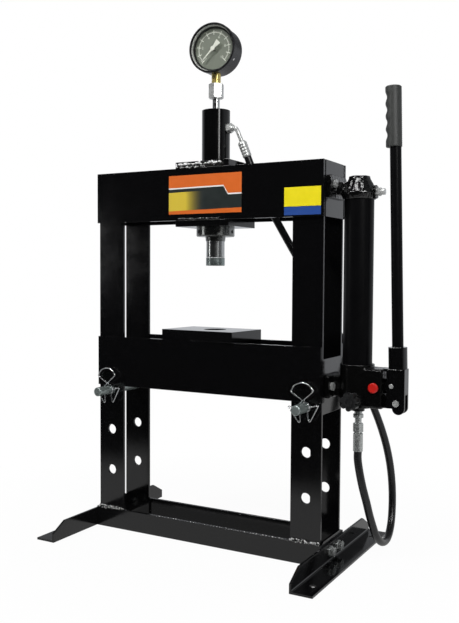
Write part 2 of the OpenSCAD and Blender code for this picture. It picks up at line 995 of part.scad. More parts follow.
module gauge_case() {
    color(gloss_black)
        difference() {
            gauge_turned([
                [0, gauge_depth], [case_r - 4, gauge_depth], [case_r, gauge_depth - 4], [case_r, 4],
                [case_r - case_t, 4], [case_r - case_t, gauge_depth - case_t], [0, gauge_depth - case_t]
            ]);
            translate([0, 0, gauge_z - gauge_r - 5])
                cylinder(d = stem_d + 2 * seat, h = gauge_r / 2);
        }
}

module gauge_dial() {
    color("#3c423e")
        gauge_turned([
            [arbor_d, dial_depth], [case_r - case_t - seat, dial_depth],
            [case_r - case_t - seat, dial_depth + dial_t], [arbor_d, dial_depth + dial_t]
        ]);
}

module gauge_needle() {
    blade_t = 0.8;
    blade_y = dial_y - dial_depth / 2;
    tip = case_r * 0.71;
    tail = case_r * 0.38;
    tail_w = case_r * 0.12;
    color("#e8e8e2")
        on_gauge() {
            rod_y(0, gauge_z, arbor_d, blade_y, socket_y + socket_t);
            rod_y(0, gauge_z, 9, blade_y - blade_t, blade_y);
            translate([0, 0, gauge_z])
                rotate([0, -135, 0])
                    along_y(blade_y - blade_t, blade_y)
                        polygon([
                            [-tail_w, -tail], [tail_w, -tail], [1.8, 0],
                            [0.6, tip], [-0.6, tip], [-1.8, 0]
                        ]);
        }
}

module gauge_lens() {
    color("#dfe6e6")
        gauge_turned([
            [0, lens_depth + seat], [lens_r, lens_depth + seat], [lens_r, lens_depth + lens_t],
            [0, lens_depth + lens_t]
        ]);
}

module gauge_bezel() {
    lip = gauge_r - gauge_d * 0.04;
    back = lens_depth + lens_t + seat;
    color(gloss_black)
        gauge_turned([
            [lip, lens_depth / 2], [lip + lens_depth / 2, 0], [gauge_r - bezel_t, 0], [gauge_r, bezel_t],
            [gauge_r, bezel_depth], [case_r + seat, bezel_depth], [case_r + seat, back], [lens_r + seat, back],
            [lens_r + seat, lens_depth], [lip, lens_depth]
        ]);
}

// Pump

module flange_holes(z, x) {
    for (s = [-1, 1])
        rod_x(s * flange_bolt_pitch / 2, z, flange_bolt_d + 2 * seat, x - 1, x + flange_t + mount_plate_t + 2);
}

module pump_mount_plate() {
    color(gloss_black)
        difference() {
            block([up_x - mount_plate_t, -up_yi, mount_plate_z], [up_x, up_yi, mount_plate_z + mount_plate_h]);
            flange_holes(flange_bolt_z, up_x - mount_plate_t);
        }
}

// One casting: collar, block, flange, valve boss and the tongue that carries the fulcrum
module pump_body() {
    neck_w = flange_bolt_pitch - 2 * flange_bolt_d;
    corner = 5;
    tongue_r = 12;
    tongue_y = cheek_yi - gap;
    color(cast_black)
        difference() {
            union() {
                translate([pump_x, 0, pump_z])
                    cylinder(d = collar_d, h = collar_h);
                translate([pump_x, -block_y, block_z])
                    along_x(0, block_reach)
                        round_rect(block_w, block_h, corner);
                block([up_x + flange_t, -neck_w / 2, flange_z + 3],
                      [pump_x, neck_w / 2, flange_z + flange_h - 3]);
                translate([0, -flange_w / 2, flange_z])
                    along_x(up_x, up_x + flange_t)
                        round_rect(flange_w, flange_h, corner);
                rod_y(valve_x, valve_z, valve_boss_d, -boss_y, 0);
                translate([hose_x, 0, pump_z - hose_boss_h + 1])
                    cylinder(d = hose_boss_d, h = hose_boss_h);
                along_y(-tongue_y, tongue_y) {
                    translate([ful_x, ful_z])
                        circle(tongue_r);
                    translate([pump_x, block_z])
                        square([fulcrum_out, ful_z + tongue_r - block_z]);
                }
            }
            translate([pump_x, 0, tube_z0])
                cylinder(d = reservoir_d + 2 * seat, h = collar_h);
            rod_x(0, bore_z, plunger_d + 2 * run, pump_x, block_x + 1);
            rod_y(valve_x, valve_z, valve_d + 2 * run, -boss_y - 1, -8);
            rod_y(relief_x, relief_z, 10, -block_y - 1, -block_y + 8);
            rod_y(ful_x, ful_z, fulcrum_d, -tongue_y - 1, tongue_y + 1);
            translate([hose_x, 0, pump_z - 9])
                cylinder(d = 12, h = 15);
            flange_holes(flange_bolt_z, up_x);
        }
}

module bolt_x(y, z, x0, x1, d) {
    head_t = d * 0.65;
    rod_x(y, z, d, x0 - 4, x1 + 1);
    hex_x(y, z, d * 1.6, x1, x1 + head_t);
    hex_x(y, z, d * 1.6, x0 - d * 0.8, x0);
}

// Hexagon bolts and nuts of the lower and the upper flange
module pump_bolts() {
    color(zinc)
        for (s = [-1, 1])
            let (y = s * flange_bolt_pitch / 2) {
                bolt_x(y, flange_bolt_z, up_x - mount_plate_t, up_x + flange_t, flange_bolt_d);
                bolt_x(y, cap_bolt_z, head_x - head_end_t, head_x + flange_t, flange_bolt_d);
            }
}

module reservoir_tube() {
    color(gloss_black)
        translate([pump_x, 0, tube_z0])
            ring(reservoir_d, reservoir_d - 2 * reservoir_t, tube_z1 - tube_z0);
}

// One casting: domed cap, its skirt round the tube and the arm that bolts to the head
module reservoir_cap() {
    skirt = 5;
    rim_r = cap_rim_d / 2;
    rim_z = skirt + 6.5;
    top_r = cap_top_d / 2;
    top_z = skirt + cap_h;
    slope = atan((rim_r - top_r) / (top_z - 4 - rim_z));
    flute_r = 6;
    flute_h = 16;
    arm_h = 40;
    arm_w = flange_bolt_pitch - 2 * flange_bolt_d;
    arm_z = cap_flange_z - 2;
    color(cast_black)
        difference() {
            union() {
                translate([pump_x, 0, tube_z1 - skirt])
                    rotate_extrude()
                        polygon([
                            [0, 0], [reservoir_d / 2 + 2.5, 0], [rim_r, rim_z - 2.5], [rim_r, rim_z],
                            [top_r, top_z - 4], [top_r, top_z - 1], [top_r - 1, top_z], [0, top_z]
                        ]);
                translate([0, -flange_w / 2, arm_z])
                    along_x(head_x, head_x + flange_t)
                        round_rect(flange_w, arm_h, 5);
                block([head_x + flange_t, -arm_w / 2, arm_z + 6], [pump_x, arm_w / 2, arm_z + arm_h - 12]);
                rod_x(0, vent_z, vent_boss_d, pump_x, vent_x);
            }
            translate([pump_x, 0, tube_z1 - skirt - 1])
                cylinder(d = reservoir_d + 2 * seat, h = skirt + 1 + seat);
            translate([pump_x, 0, tube_z1 - 1])
                cylinder(d1 = reservoir_d - 2 * reservoir_t, d2 = cap_top_d - 14, h = cap_h - 5);
            rod_x(0, vent_z, 10, pump_x, vent_x + 1);
            rod_x(0, vent_z, plug_rim_d + 2, vent_x - seat, vent_x + 2 * plug_t);
            for (a = [-138, -102, -66, 66, 102, 138])
                translate([pump_x, 0, tube_z1 - skirt])
                    rotate([0, 0, a])
                        translate([(rim_r + top_r) / 2, 0, (rim_z + top_z - 4) / 2])
                            rotate([0, -slope, 0])
                                translate([flute_r - 1.8, 0, -flute_h / 2])
                                    cylinder(r = flute_r, h = flute_h);
            flange_holes(cap_bolt_z, head_x);
        }
}

// Filler plug with a scalloped rim, on the cap's right side
module filler_plug() {
    notches = 10;
    color(cast_black)
        difference() {
            union() {
                rod_x(0, vent_z, 10 - 2 * seat, vent_x - 10, vent_x + 1);
                rod_x(0, vent_z, plug_rim_d, vent_x, vent_x + plug_t);
            }
            for (k = [0 : notches - 1])
                let (a = 360 * k / notches, y = plug_rim_d / 2 * cos(a), z = plug_rim_d / 2 * sin(a))
                rod_x(y, vent_z + z, 4, vent_x - 0.5, vent_x + plug_t + 1);
            rod_x(0, vent_z, 6 + 2 * run, vent_x - 11, vent_x + plug_t + 1);
        }
}

module vent_screw() {
    x = vent_x + plug_t;
    color(zinc) {
        rod_x(0, vent_z, 6, x - 14, x + 1);
        hex_x(0, vent_z, 13, x, x + 8);
        rod_x(0, vent_z, 11, x + 8, x + 15);
    }
}

module relief_cap() {
    cap_t = 5;
    color("#d3200f") {
        rod_y(relief_x, relief_z, 10 - 2 * seat, -block_y - 1, -block_y + 7);
        translate([relief_x, -block_y, relief_z])
            rotate([90, 0, 0])
                rotate_extrude()
                    polygon([
                        [0, 0], [relief_d / 2, 0], [relief_d / 2, cap_t - 1.5],
                        [relief_d / 2 - 1.5, cap_t], [0, cap_t]
                    ]);
    }
}

// Star knob on the spindle of the release valve
module release_knob() {
    lobes = 7;
    lobe_r = knob_d * 0.15;
    hub_r = knob_d / 2 - lobe_r;
    y1 = -boss_y - 2;
    color("#232526")
        difference() {
            union() {
                rod_y(valve_x, valve_z, valve_d, -boss_y - 6, -10);
                translate([valve_x, 0, valve_z])
                    along_y(y1 - knob_t, y1) {
                        circle(hub_r);
                        for (k = [0 : lobes - 1])
                            rotate(k * 360 / lobes + 12)
                                translate([hub_r, 0])
                                    circle(lobe_r);
                    }
                rod_y(valve_x, valve_z, 16, y1 - knob_t - 3, y1);
            }
            rod_y(valve_x, valve_z, 9, y1 - knob_t - 4, y1 - knob_t - 1);
        }
}

// Plunger with an upright slot for the lever's pin
module plunger() {
    eye_t = cheek_gap - 4;
    color(steel)
        difference() {
            union() {
                rod_x(0, bore_z, plunger_d, pump_x + 6, crank_x - eye_r + 2);
                along_y(-eye_t / 2, eye_t / 2)
                    slot_outline(eye_r);
            }
            along_y(-eye_t, eye_t)
                slot_outline(slot_w / 2);
        }
}

// Round-ended upright slot about the plunger pin
module slot_outline(r) {
    for (s = [-1, 1])
        translate([crank_x, bore_z + s * slot_rise / 2])
            circle(r);
    translate([crank_x - r, bore_z - slot_rise / 2])
        square([2 * r, slot_rise]);
}

module plunger_gland() {
    color(gloss_black)
        difference() {
            hex_x(0, bore_z, plunger_d + 9, block_x, block_x + gland_t);
            rod_x(0, bore_z, plunger_d + 2 * run, block_x - 1, block_x + gland_t + 1);
        }
}

module fulcrum_pin() {
    head_t = 2;
    color(zinc) {
        rod_y(ful_x, ful_z, fulcrum_d, -cheek_y - gap, cheek_y + gap);
        for (s = [-1, 1])
            let (y = s * (cheek_y + gap + head_t / 2))
            rod_y(ful_x, ful_z, fulcrum_d + 1.5, y - head_t / 2, y + head_t / 2);
    }
}

// Lever: two side plates, a back web, a top plate and the handle socket, welded together
module lever_bracket() {
    plate_x = block_x + 2 * gap;
    color(gloss_black)
        difference() {
            union() {
                for (s = [-1, 1])
                    along_y(s > 0 ? cheek_yi : -cheek_y, s > 0 ? cheek_y : -cheek_yi) {
                        translate([ful_x + cheek_r - ear_r, ful_z - ear_drop])
                            circle(ear_r);
                        translate([ful_x - cheek_left, ful_z - ear_drop])
                            square([cheek_left + cheek_r, socket_plate_z - ful_z + ear_drop]);
                    }
                block([ful_x + cheek_r - cheek_t, -cheek_y, web_z], [ful_x + cheek_r, cheek_y, socket_z]);
                block([plate_x, -cheek_y, socket_plate_z], [ful_x + cheek_r, cheek_y, socket_z]);
                handle_frame()
                    cylinder(d = socket_d, h = socket_h);
            }
            handle_frame()
                translate([0, 0, 3])
                    cylinder(d = handle_d + 2 * seat, h = socket_h);
            rod_y(ful_x, ful_z, fulcrum_d + 2 * run, -cheek_y - 1, cheek_y + 1);
            rod_y(crank_x, crank_z, crank_pin_d, -cheek_y - 1, cheek_y + 1);
        }
}

// Places what stands in the socket along the leaning handle
module handle_frame() {
    translate([ful_x - 0.7, 0, socket_z])
        rotate([0, -handle_lean, 0])
            children();
}

module plunger_pin() {
    color(zinc)
        rod_y(crank_x, crank_z, crank_pin_d, -cheek_y - 1, cheek_y + 1);
}

module handle_tube() {
    color(gloss_black)
        handle_frame()
            translate([0, 0, 3])
                ring(handle_d, handle_d - 2 * handle_t, handle_len - 3);
}

// Moulded grip with finger grooves on the side of the frame
module handle_grip() {
    end_t = 4;
    fingers = 4;
    pitch = (grip_len - 20) / fingers;
    groove_r = pitch * 0.75;
    depth = 3;
    r = grip_d / 2;
    color("#3b3d3c")
        handle_frame()
            translate([0, 0, handle_len + end_t - grip_len])
                difference() {
                    translate([-grip_shift, 0, 0])
                        rotate_extrude()
                            polygon([
                                [0, 0], [r - 0.8, 0], [r, 0.8], [r, grip_len - 2.5],
                                [r - 2.5, grip_len], [0, grip_len]
                            ]);
                    translate([0, 0, -1])
                        cylinder(d = handle_d + 2 * seat, h = grip_len - end_t + 1);
                    for (k = [0 : fingers - 1])
                        rod_y(-r - grip_shift - groove_r + depth, 12 + (k + 0.5) * pitch, 2 * groove_r, -r, r);
                }
}

// Hose and fittings

module port_nut() {
    color(zinc)
        difference() {
            union() {
                hex_x(0, port_z, 17, spot_x, spot_x + 9);
                rod_x(0, port_z, 13, spot_x + 9, spot_x + 13);
            }
            rod_x(0, port_z, pipe_d + 2 * seat, spot_x + 4, spot_x + 14);
        }
}

// Bent steel pipe and the crimped sleeve that holds the hose
module hose_upper_fitting() {
    sleeve_top = hose_to + hose_end_dir * upper_sleeve_h;
    pipe_from = [spot_x + 4, 0, port_z];
    bend = [pipe_from, pipe_from + [9, 0, 0], pipe_from + [15, 0.4, -2.5], sleeve_top + hose_end_dir * 9,
            sleeve_top];
    color(zinc) {
        sweep(curve_rings(bend, 3), pipe_d, 12, [0, 1, 0]);
        rod(hose_to, sleeve_top - hose_end_dir * sleeve_taper, sleeve_d, sleeve_d);
        rod(sleeve_top - hose_end_dir * sleeve_taper, sleeve_top, sleeve_d, pipe_d + 3);
    }
}

module hose() {
    color("#1c1d1f")
        sweep(curve_rings(hose_route, 2), hose_d, hose_sides, [1, 0, 0]);
}

// Crimped sleeve and swivel nut on the pump's end of the hose
module hose_lower_fitting() {
    color(zinc)
        translate([hose_x, 0, hose_from[2]]) {
            cylinder(d = sleeve_d, h = sleeve_h - sleeve_taper);
            translate([0, 0, sleeve_h - sleeve_taper])
                cylinder(d1 = sleeve_d, d2 = sleeve_d - 2 * sleeve_taper, h = sleeve_taper);
            translate([0, 0, sleeve_h])
                turned_hex(swivel_af, swivel_h);
        }
}

// Adapter between the pump's outlet and the swivel nut
module hose_adapter() {
    z0 = hose_from[2] + sleeve_h + swivel_h;
    z1 = pump_z - 8;
    hex_h = 7;
    shoulder_h = 5;
    color(zinc)
        translate([hose_x, 0, 0]) {
            translate([0, 0, z0])
                cylinder(d = 12, h = z1 - shoulder_h - hex_h - z0 + 1);
            translate([0, 0, z1 - shoulder_h - hex_h])
                turned_hex(swivel_af, hex_h);
            translate([0, 0, z1 - shoulder_h])
                cylinder(d = 14, h = shoulder_h);
            translate([0, 0, z1 - 1])
                cylinder(d = 12 - 2 * seat, h = 12);
        }
}

upright_front_left();
upright_front_right();
upright_rear_left();
upright_rear_right();
head_front_plate();
head_rear_plate();
head_end_plates();
barrel_top_plate();
barrel_bottom_plate();
base_front_plate();
base_rear_plate();
base_end_plates();
foot_left();
foot_right();
foot_bolts();
bed_front_beam();
bed_rear_beam();
bed_spacers();
press_plate();
bed_pin_left();
bed_pin_right();
pin_clip_left();
pin_clip_right();
cylinder_barrel();
lock_nut();
cylinder_gland();
ram();
ram_nose();
piston_seal();
return_spring();
gauge_pipe();
gauge_adapter();
gauge_stem();
bourdon_tube();
gauge_case();
gauge_dial();
gauge_needle();
gauge_lens();
gauge_bezel();
pump_mount_plate();
pump_body();
pump_bolts();
reservoir_tube();
reservoir_cap();
filler_plug();
vent_screw();
relief_cap();
release_knob();
plunger();
plunger_gland();
fulcrum_pin();
lever_bracket();
plunger_pin();
handle_tube();
handle_grip();
port_nut();
hose_upper_fitting();
hose();
hose_lower_fitting();
hose_adapter();
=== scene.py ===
"""Looks of the hydraulic press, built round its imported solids, in metres."""
import math

import bpy
from mathutils import Matrix, Vector, noise


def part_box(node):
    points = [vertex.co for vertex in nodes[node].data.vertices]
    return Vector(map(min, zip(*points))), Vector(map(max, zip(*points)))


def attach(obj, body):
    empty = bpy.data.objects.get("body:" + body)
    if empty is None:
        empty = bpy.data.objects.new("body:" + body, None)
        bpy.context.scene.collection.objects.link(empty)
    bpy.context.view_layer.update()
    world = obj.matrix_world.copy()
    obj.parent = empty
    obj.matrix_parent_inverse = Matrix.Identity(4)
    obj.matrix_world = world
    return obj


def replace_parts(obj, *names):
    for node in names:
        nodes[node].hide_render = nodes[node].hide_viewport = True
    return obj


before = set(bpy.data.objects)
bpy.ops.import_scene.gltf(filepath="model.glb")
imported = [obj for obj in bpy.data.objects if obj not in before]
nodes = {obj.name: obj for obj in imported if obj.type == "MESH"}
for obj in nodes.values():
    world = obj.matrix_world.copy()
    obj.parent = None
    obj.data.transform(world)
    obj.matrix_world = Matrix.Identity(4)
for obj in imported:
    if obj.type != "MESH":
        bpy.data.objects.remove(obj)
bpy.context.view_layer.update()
scene = bpy.context.scene
scene.view_settings.view_transform = "Standard"

# Blender takes the seed of its noise vectors from the clock unless one is set
NOISE_SEED = 1
noise.seed_set(NOISE_SEED)


# Camera, solved from the frame's edges in the photograph
IMAGE = (459, 623)
FOCAL_PX = 806.15
SENSOR = 36
CAMERA_AT = Vector((0.8004, -1.3773, 0.5243))
YAW, PITCH, ROLL = (math.radians(a) for a in (29.144, 2.605, 0.308))


def make_camera():
    level = Vector((math.cos(YAW), math.sin(YAW), 0))
    ahead = Vector((-math.sin(YAW) * math.cos(PITCH), math.cos(YAW) * math.cos(PITCH), -math.sin(PITCH)))
    upright = level.cross(ahead)
    right = level * math.cos(ROLL) + upright * math.sin(ROLL)
    up = upright * math.cos(ROLL) - level * math.sin(ROLL)
    data = bpy.data.cameras.new("camera")
    data.sensor_width = SENSOR
    data.lens = FOCAL_PX / max(IMAGE) * SENSOR
    data.clip_end = 50
    cam = bpy.data.objects.new("camera", data)
    turn = Matrix((right, up, -ahead)).transposed()
    cam.matrix_world = Matrix.Translation(CAMERA_AT) @ turn.to_4x4()
    scene.collection.objects.link(cam)
    scene.camera = cam


make_camera()


# Shader nodes

# The places of a mix node's sockets for colours
MIX_FIRST, MIX_SECOND, MIX_RESULT = 6, 7, 2


def put(tree, kind, **values):
    """A node with its inputs and settings filled in."""
    made = tree.nodes.new(kind)
    for key, value in values.items():
        if key in made.inputs:
            made.inputs[key].default_value = value
        else:
            setattr(made, key, value)
    return made


def ramp(tree, source, low, high, a, b):
    """A value that runs from a to b while the source goes from low to high."""
    made = put(tree, "ShaderNodeMapRange", **{"From Min": low, "From Max": high, "To Min": a, "To Max": b})
    tree.links.new(source, made.inputs["Value"])
    return made.outputs["Result"]


def maths(tree, operation, *sources):
    """The result of one operation on other nodes' values."""
    made = put(tree, "ShaderNodeMath", operation=operation)
    for source, target in zip(sources, made.inputs):
        tree.links.new(source, target)
    return made.outputs[0]


def blend(tree, share, first, second):
    """A colour that goes from the first to the second while the share goes from 0 to 1."""
    made = put(tree, "ShaderNodeMix", data_type="RGBA")
    made.inputs[MIX_FIRST].default_value = (*first, 1)
    made.inputs[MIX_SECOND].default_value = (*second, 1)
    tree.links.new(share, made.inputs[0])
    return made.outputs[MIX_RESULT]


def axes(tree, vector):
    """The X, Y and Z of a vector."""
    split = put(tree, "ShaderNodeSeparateXYZ")
    tree.links.new(vector, split.inputs["Vector"])
    return split.outputs


def cloud(tree, vector, scale, detail, rough):
    made = put(tree, "ShaderNodeTexNoise", Scale=scale, Detail=detail, Roughness=rough)
    tree.links.new(vector, made.inputs["Vector"])
    return made.outputs["Fac"]


# Finishes
CLOUD_LOW, CLOUD_HIGH = 0.3, 0.7
FADE_POWER = 2.2
BUMP_DEPTH = 0.001


def paint(r, g, b):
    """A colour as it looks on a screen, 0 to 255, in linear light."""
    return tuple((c / 255 / 12.92) if c < 11 else ((c / 255 + 0.055) / 1.055) ** 2.4 for c in (r, g, b))


def make_uneven(tree, shader, vector, colour, rough, spread, grain, shade):
    """Noise in the roughness and in the colour."""
    fac = cloud(tree, vector, grain, detail=5.0, rough=0.6)
    if spread:
        uneven = ramp(tree, fac, CLOUD_LOW, CLOUD_HIGH, rough - spread, rough + spread)
        tree.links.new(uneven, shader.inputs["Roughness"])
    if shade:
        darker = [c * (1 - shade) for c in colour]
        lighter = [min(1, c * (1 + shade)) for c in colour]
        share = ramp(tree, fac, CLOUD_LOW, CLOUD_HIGH, 0, 1)
        tree.links.new(blend(tree, share, darker, lighter), shader.inputs["Base Color"])


def make_fading(tree, shader, vector, colour, fade):
    """The colour turns into a second one along x."""
    second, start, end = fade
    share = put(tree, "ShaderNodeMath", operation="POWER")
    share.inputs[1].default_value = FADE_POWER
    tree.links.new(ramp(tree, axes(tree, vector)["X"], start, end, 1, 0), share.inputs[0])
    tree.links.new(blend(tree, share.outputs[0], second, colour), shader.inputs["Base Color"])


def make_relief(tree, shader, vector, edge, bump, bump_scale):
    """Soft light on the edges, and small bumps."""
    normal = None
    if edge:
        normal = put(tree, "ShaderNodeBevel", samples=6, Radius=edge).outputs["Normal"]
    if bump:
        raised = put(tree, "ShaderNodeBump", Strength=bump, Distance=BUMP_DEPTH)
        height = cloud(tree, vector, bump_scale, detail=4.0, rough=0.55)
        tree.links.new(height, raised.inputs["Height"])
        if normal is not None:
            tree.links.new(normal, raised.inputs["Normal"])
        normal = raised.outputs["Normal"]
    if normal is not None:
        tree.links.new(normal, shader.inputs["Normal"])


def finish(name, colour, rough, metal=0.0, spread=0.0, grain=60.0, shade=0.0, bump=0.0, bump_scale=300.0,
           edge=0.0, stretch=(1, 1, 1), spec=0.5, clear=1.0, fade=None):
    """A finish with noise in its colour, its roughness and its surface, and soft light on its edges.

    fade is a second colour and the x between which the first turns into it."""
    mat = bpy.data.materials.new(name)
    mat.use_nodes = True
    tree = mat.node_tree
    shader = tree.nodes["Principled BSDF"]
    shader.inputs["Base Color"].default_value = (*colour, 1)
    shader.inputs["Roughness"].default_value = rough
    shader.inputs["Metallic"].default_value = metal
    shader.inputs["Specular IOR Level"].default_value = spec
    shader.inputs["Alpha"].default_value = clear
    place = put(tree, "ShaderNodeTexCoord").outputs["Object"]
    scale = put(tree, "ShaderNodeMapping", Scale=stretch)
    tree.links.new(place, scale.inputs["Vector"])
    vector = scale.outputs["Vector"]
    if spread or shade:
        make_uneven(tree, shader, vector, colour, rough, spread, grain, shade)
    if fade:
        make_fading(tree, shader, place, colour, fade)
    make_relief(tree, shader, vector, edge, bump, bump_scale)
    return mat


# Paint and castings
ENAMEL = finish("black_enamel", (0.0022, 0.0022, 0.0025), 0.12, spread=0.03, grain=35,
                bump=0.03, bump_scale=150, edge=0.0007)
BARREL = finish("barrel_enamel", (0.0022, 0.0022, 0.0025), 0.14, spread=0.03, grain=35,
                bump=0.03, bump_scale=150, spec=0.3, edge=0.0007)
PLATE = finish("black_plate", (0.0026, 0.0026, 0.0029), 0.09, spread=0.03, grain=50,
               bump=0.03, bump_scale=260, edge=0.0008)
TUBE = finish("black_powder", (0.0025, 0.0025, 0.0029), 0.34, spread=0.05, grain=60,
              bump=0.05, bump_scale=300, spec=0.09, edge=0.0007)
CASTING = finish("black_casting", (0.0022, 0.0022, 0.0022), 0.2, spread=0.07, grain=180,
                 bump=0.2, bump_scale=420, spec=0.3)
CAP = finish("glossy_casting", (0.0026, 0.0026, 0.0026), 0.14, spread=0.06, grain=180,
             bump=0.3, bump_scale=330, spec=0.8)
WELD = finish("painted_weld", (0.004, 0.004, 0.004), 0.16, spread=0.06, grain=300,
              bump=0.4, bump_scale=700)

# Bare and plated metal
ZINC = finish("zinc_plating", (0.55, 0.56, 0.55), 0.22, metal=1.0, spread=0.07, grain=120, shade=0.12,
              bump=0.05, bump_scale=500, edge=0.0005)
PLATED = finish("bright_plating", (0.6, 0.61, 0.6), 0.3, metal=0.55, spread=0.08, grain=150, shade=0.1,
                bump=0.08, bump_scale=600, edge=0.0005)
BOLT = finish("pale_plating", (0.6, 0.61, 0.6), 0.25, metal=0.55, spread=0.08, grain=150, shade=0.2,
              bump=0.35, bump_scale=500, edge=0.0006)
FITTING = finish("crimped_plating", (0.5, 0.52, 0.51), 0.26, metal=0.78, spread=0.08, grain=150,
                 shade=0.15, bump=0.15, bump_scale=500, edge=0.0006)
# Pale grains that show bright under any lamp: painted glints on the welds, and painted highlights on the nose
# ring and the case screws
PALE_GLINT = finish("pale_grains_painted_glints", (0.85, 0.85, 0.85), 0.3, metal=0.2, spread=0.1, grain=200, shade=0.1)
PIN = finish("greenish_zinc", (0.3, 0.345, 0.335), 0.3, metal=0.65, spread=0.08, grain=90, shade=0.15,
             bump=0.06, bump_scale=400, edge=0.0006)
NOSE = finish("turned_nose", (0.25, 0.29, 0.285), 0.3, metal=0.84, spread=0.08, grain=90, shade=0.15,
              bump=0.06, bump_scale=400, edge=0.0006)
WIRE = finish("bright_wire", (0.66, 0.67, 0.68), 0.2, metal=1.0, spread=0.06, grain=200, shade=0.1)
DULL_STEEL = finish("dull_steel", (0.2, 0.205, 0.2), 0.26, metal=1.0, spread=0.08, grain=90, shade=0.2,
                    bump=0.06, bump_scale=260, edge=0.0006)
CHROME = finish("ground_chrome", (0.42, 0.43, 0.43), 0.24, metal=1.0, spread=0.05, grain=60, shade=0.08,
                bump=0.04, bump_scale=900, stretch=(1, 1, 0.08), edge=0.0005)
BRASS = finish("turned_brass", (0.72, 0.58, 0.2), 0.24, metal=0.7, spread=0.06, grain=150, shade=0.12,
               bump=0.05, bump_scale=700, stretch=(1, 1, 4), edge=0.0005)
SPRING = finish("spring_steel", (0.4, 0.4, 0.4), 0.3, metal=1.0, spread=0.06, grain=200, shade=0.1)

# Plastic and rubber
KNOB = finish("moulded_plastic", (0.014, 0.0145, 0.015), 0.36, spread=0.06, grain=90, shade=0.15,
              bump=0.08, bump_scale=900)
RED = finish("red_plastic", (0.54, 0.009, 0.005), 0.3, spread=0.05, grain=120, shade=0.06,
             bump=0.03, bump_scale=500, edge=0.0006)
GRIP = finish("grip_rubber", (0.03, 0.032, 0.03), 0.5, spread=0.08, grain=140, shade=0.2,
              bump=0.2, bump_scale=900)
HOSE = finish("hose_rubber", (0.006, 0.006, 0.0065), 0.3, spread=0.06, grain=90, shade=0.15,
              bump=0.16, bump_scale=650)
SEAL = finish("seal_rubber", (0.02, 0.02, 0.02), 0.5, spread=0.05, grain=200, shade=0.1)

# Gauge
CASE = finish("gauge_black", (0.007, 0.007, 0.008), 0.26, spread=0.05, grain=90, shade=0.12,
              bump=0.08, bump_scale=600, spec=0.28, edge=0.0006)
DIAL = finish("dial_face", paint(118, 124, 111), 0.55, spread=0.05, grain=60, shade=0.06)
DIAL_MARK = finish("dial_marks", paint(236, 240, 226), 0.6, spread=0.04, grain=200, shade=0.05)
INNER_RING = finish("gauge_inner_ring", paint(214, 216, 210), 0.5, spread=0.05, grain=120, shade=0.04)
# Dark inner wall of the case; its colour also serves as painted shade on the dial's edge
INNER_WALL_AND_SHADE = finish("gauge_wall_and_painted_shade", (0.006, 0.0065, 0.006), 0.5, spread=0.05, grain=120, shade=0.1)
NEEDLE = finish("needle_paint", paint(226, 229, 216), 0.5, spread=0.05, grain=200, shade=0.04)
GLASS = finish("gauge_glass", (0.05, 0.055, 0.05), 0.05, spread=0.02, grain=40, clear=0.05)

# Stickers
SLATE_PAINT = paint(30, 37, 36)
ORANGE = finish("sticker_orange", paint(214, 100, 26), 0.4, spread=0.04, grain=80, shade=0.03)
WHITE = finish("sticker_white", paint(236, 236, 232), 0.4, spread=0.04, grain=80, shade=0.03)
SLATE = finish("sticker_slate", SLATE_PAINT, 0.36, spread=0.04, grain=80, shade=0.06)
YELLOW = finish("sticker_yellow", paint(212, 186, 56), 0.4, spread=0.04, grain=80,
                fade=(SLATE_PAINT, -0.036, 0.005))
LEMON = finish("sticker_lemon", paint(236, 219, 10), 0.4, spread=0.04, grain=80, shade=0.03)
BLUE = finish("sticker_blue", paint(30, 70, 144), 0.4, spread=0.04, grain=80, shade=0.04)

FINISHES = {
    ENAMEL: """upright_front_left upright_front_right upright_rear_left upright_rear_right
        head_front_plate head_rear_plate head_end_plates barrel_top_plate
        base_front_plate base_rear_plate base_end_plates foot_left foot_right
        bed_front_beam bed_rear_beam bed_spacers pump_mount_plate lever_bracket plunger_gland""",
    BARREL: "cylinder_barrel barrel_bottom_plate",
    TUBE: "reservoir_tube handle_tube",
    PLATE: "press_plate",
    CASTING: "pump_body",
    CAP: "reservoir_cap filler_plug",
    ZINC: "gauge_pipe",
    PLATED: "gauge_adapter vent_screw port_nut hose_upper_fitting",
    BOLT: "pump_bolts fulcrum_pin plunger_pin",
    FITTING: "foot_bolts hose_lower_fitting hose_adapter",
    PIN: "bed_pin_left bed_pin_right",
    NOSE: "ram_nose",
    WIRE: "pin_clip_left pin_clip_right",
    DULL_STEEL: "lock_nut cylinder_gland",
    CHROME: "ram plunger",
    BRASS: "gauge_stem bourdon_tube",
    KNOB: "release_knob",
    RED: "relief_cap",
    GRIP: "handle_grip",
    HOSE: "hose",
    SEAL: "piston_seal",
    SPRING: "return_spring",
    CASE: "gauge_case gauge_bezel",
    DIAL: "gauge_dial",
    NEEDLE: "gauge_needle",
    GLASS: "gauge_lens",
}
for mat, names in FINISHES.items():
    for name in names.split():
        nodes[name].data.materials.clear()
        nodes[name].data.materials.append(mat)


# Building pieces

def dress(made, body):
    scene.collection.objects.link(made)
    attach(made, body)
    return made


def add_mesh(name, shape, mats, body, smooth=True, picks=None):
    """A piece from (vertices, faces); picks gives each face's place in the list of finishes."""
    data = bpy.data.meshes.new(name)
    data.from_pydata([tuple(v) for v in shape[0]], [], shape[1])
    for mat in mats if isinstance(mats, list) else [mats]:
        data.materials.append(mat)
    for i, poly in enumerate(data.polygons):
        poly.use_smooth = smooth
        poly.material_index = picks[i] if picks else 0
    data.validate()
    data.update()
    return dress(bpy.data.objects.new(name, data), body)


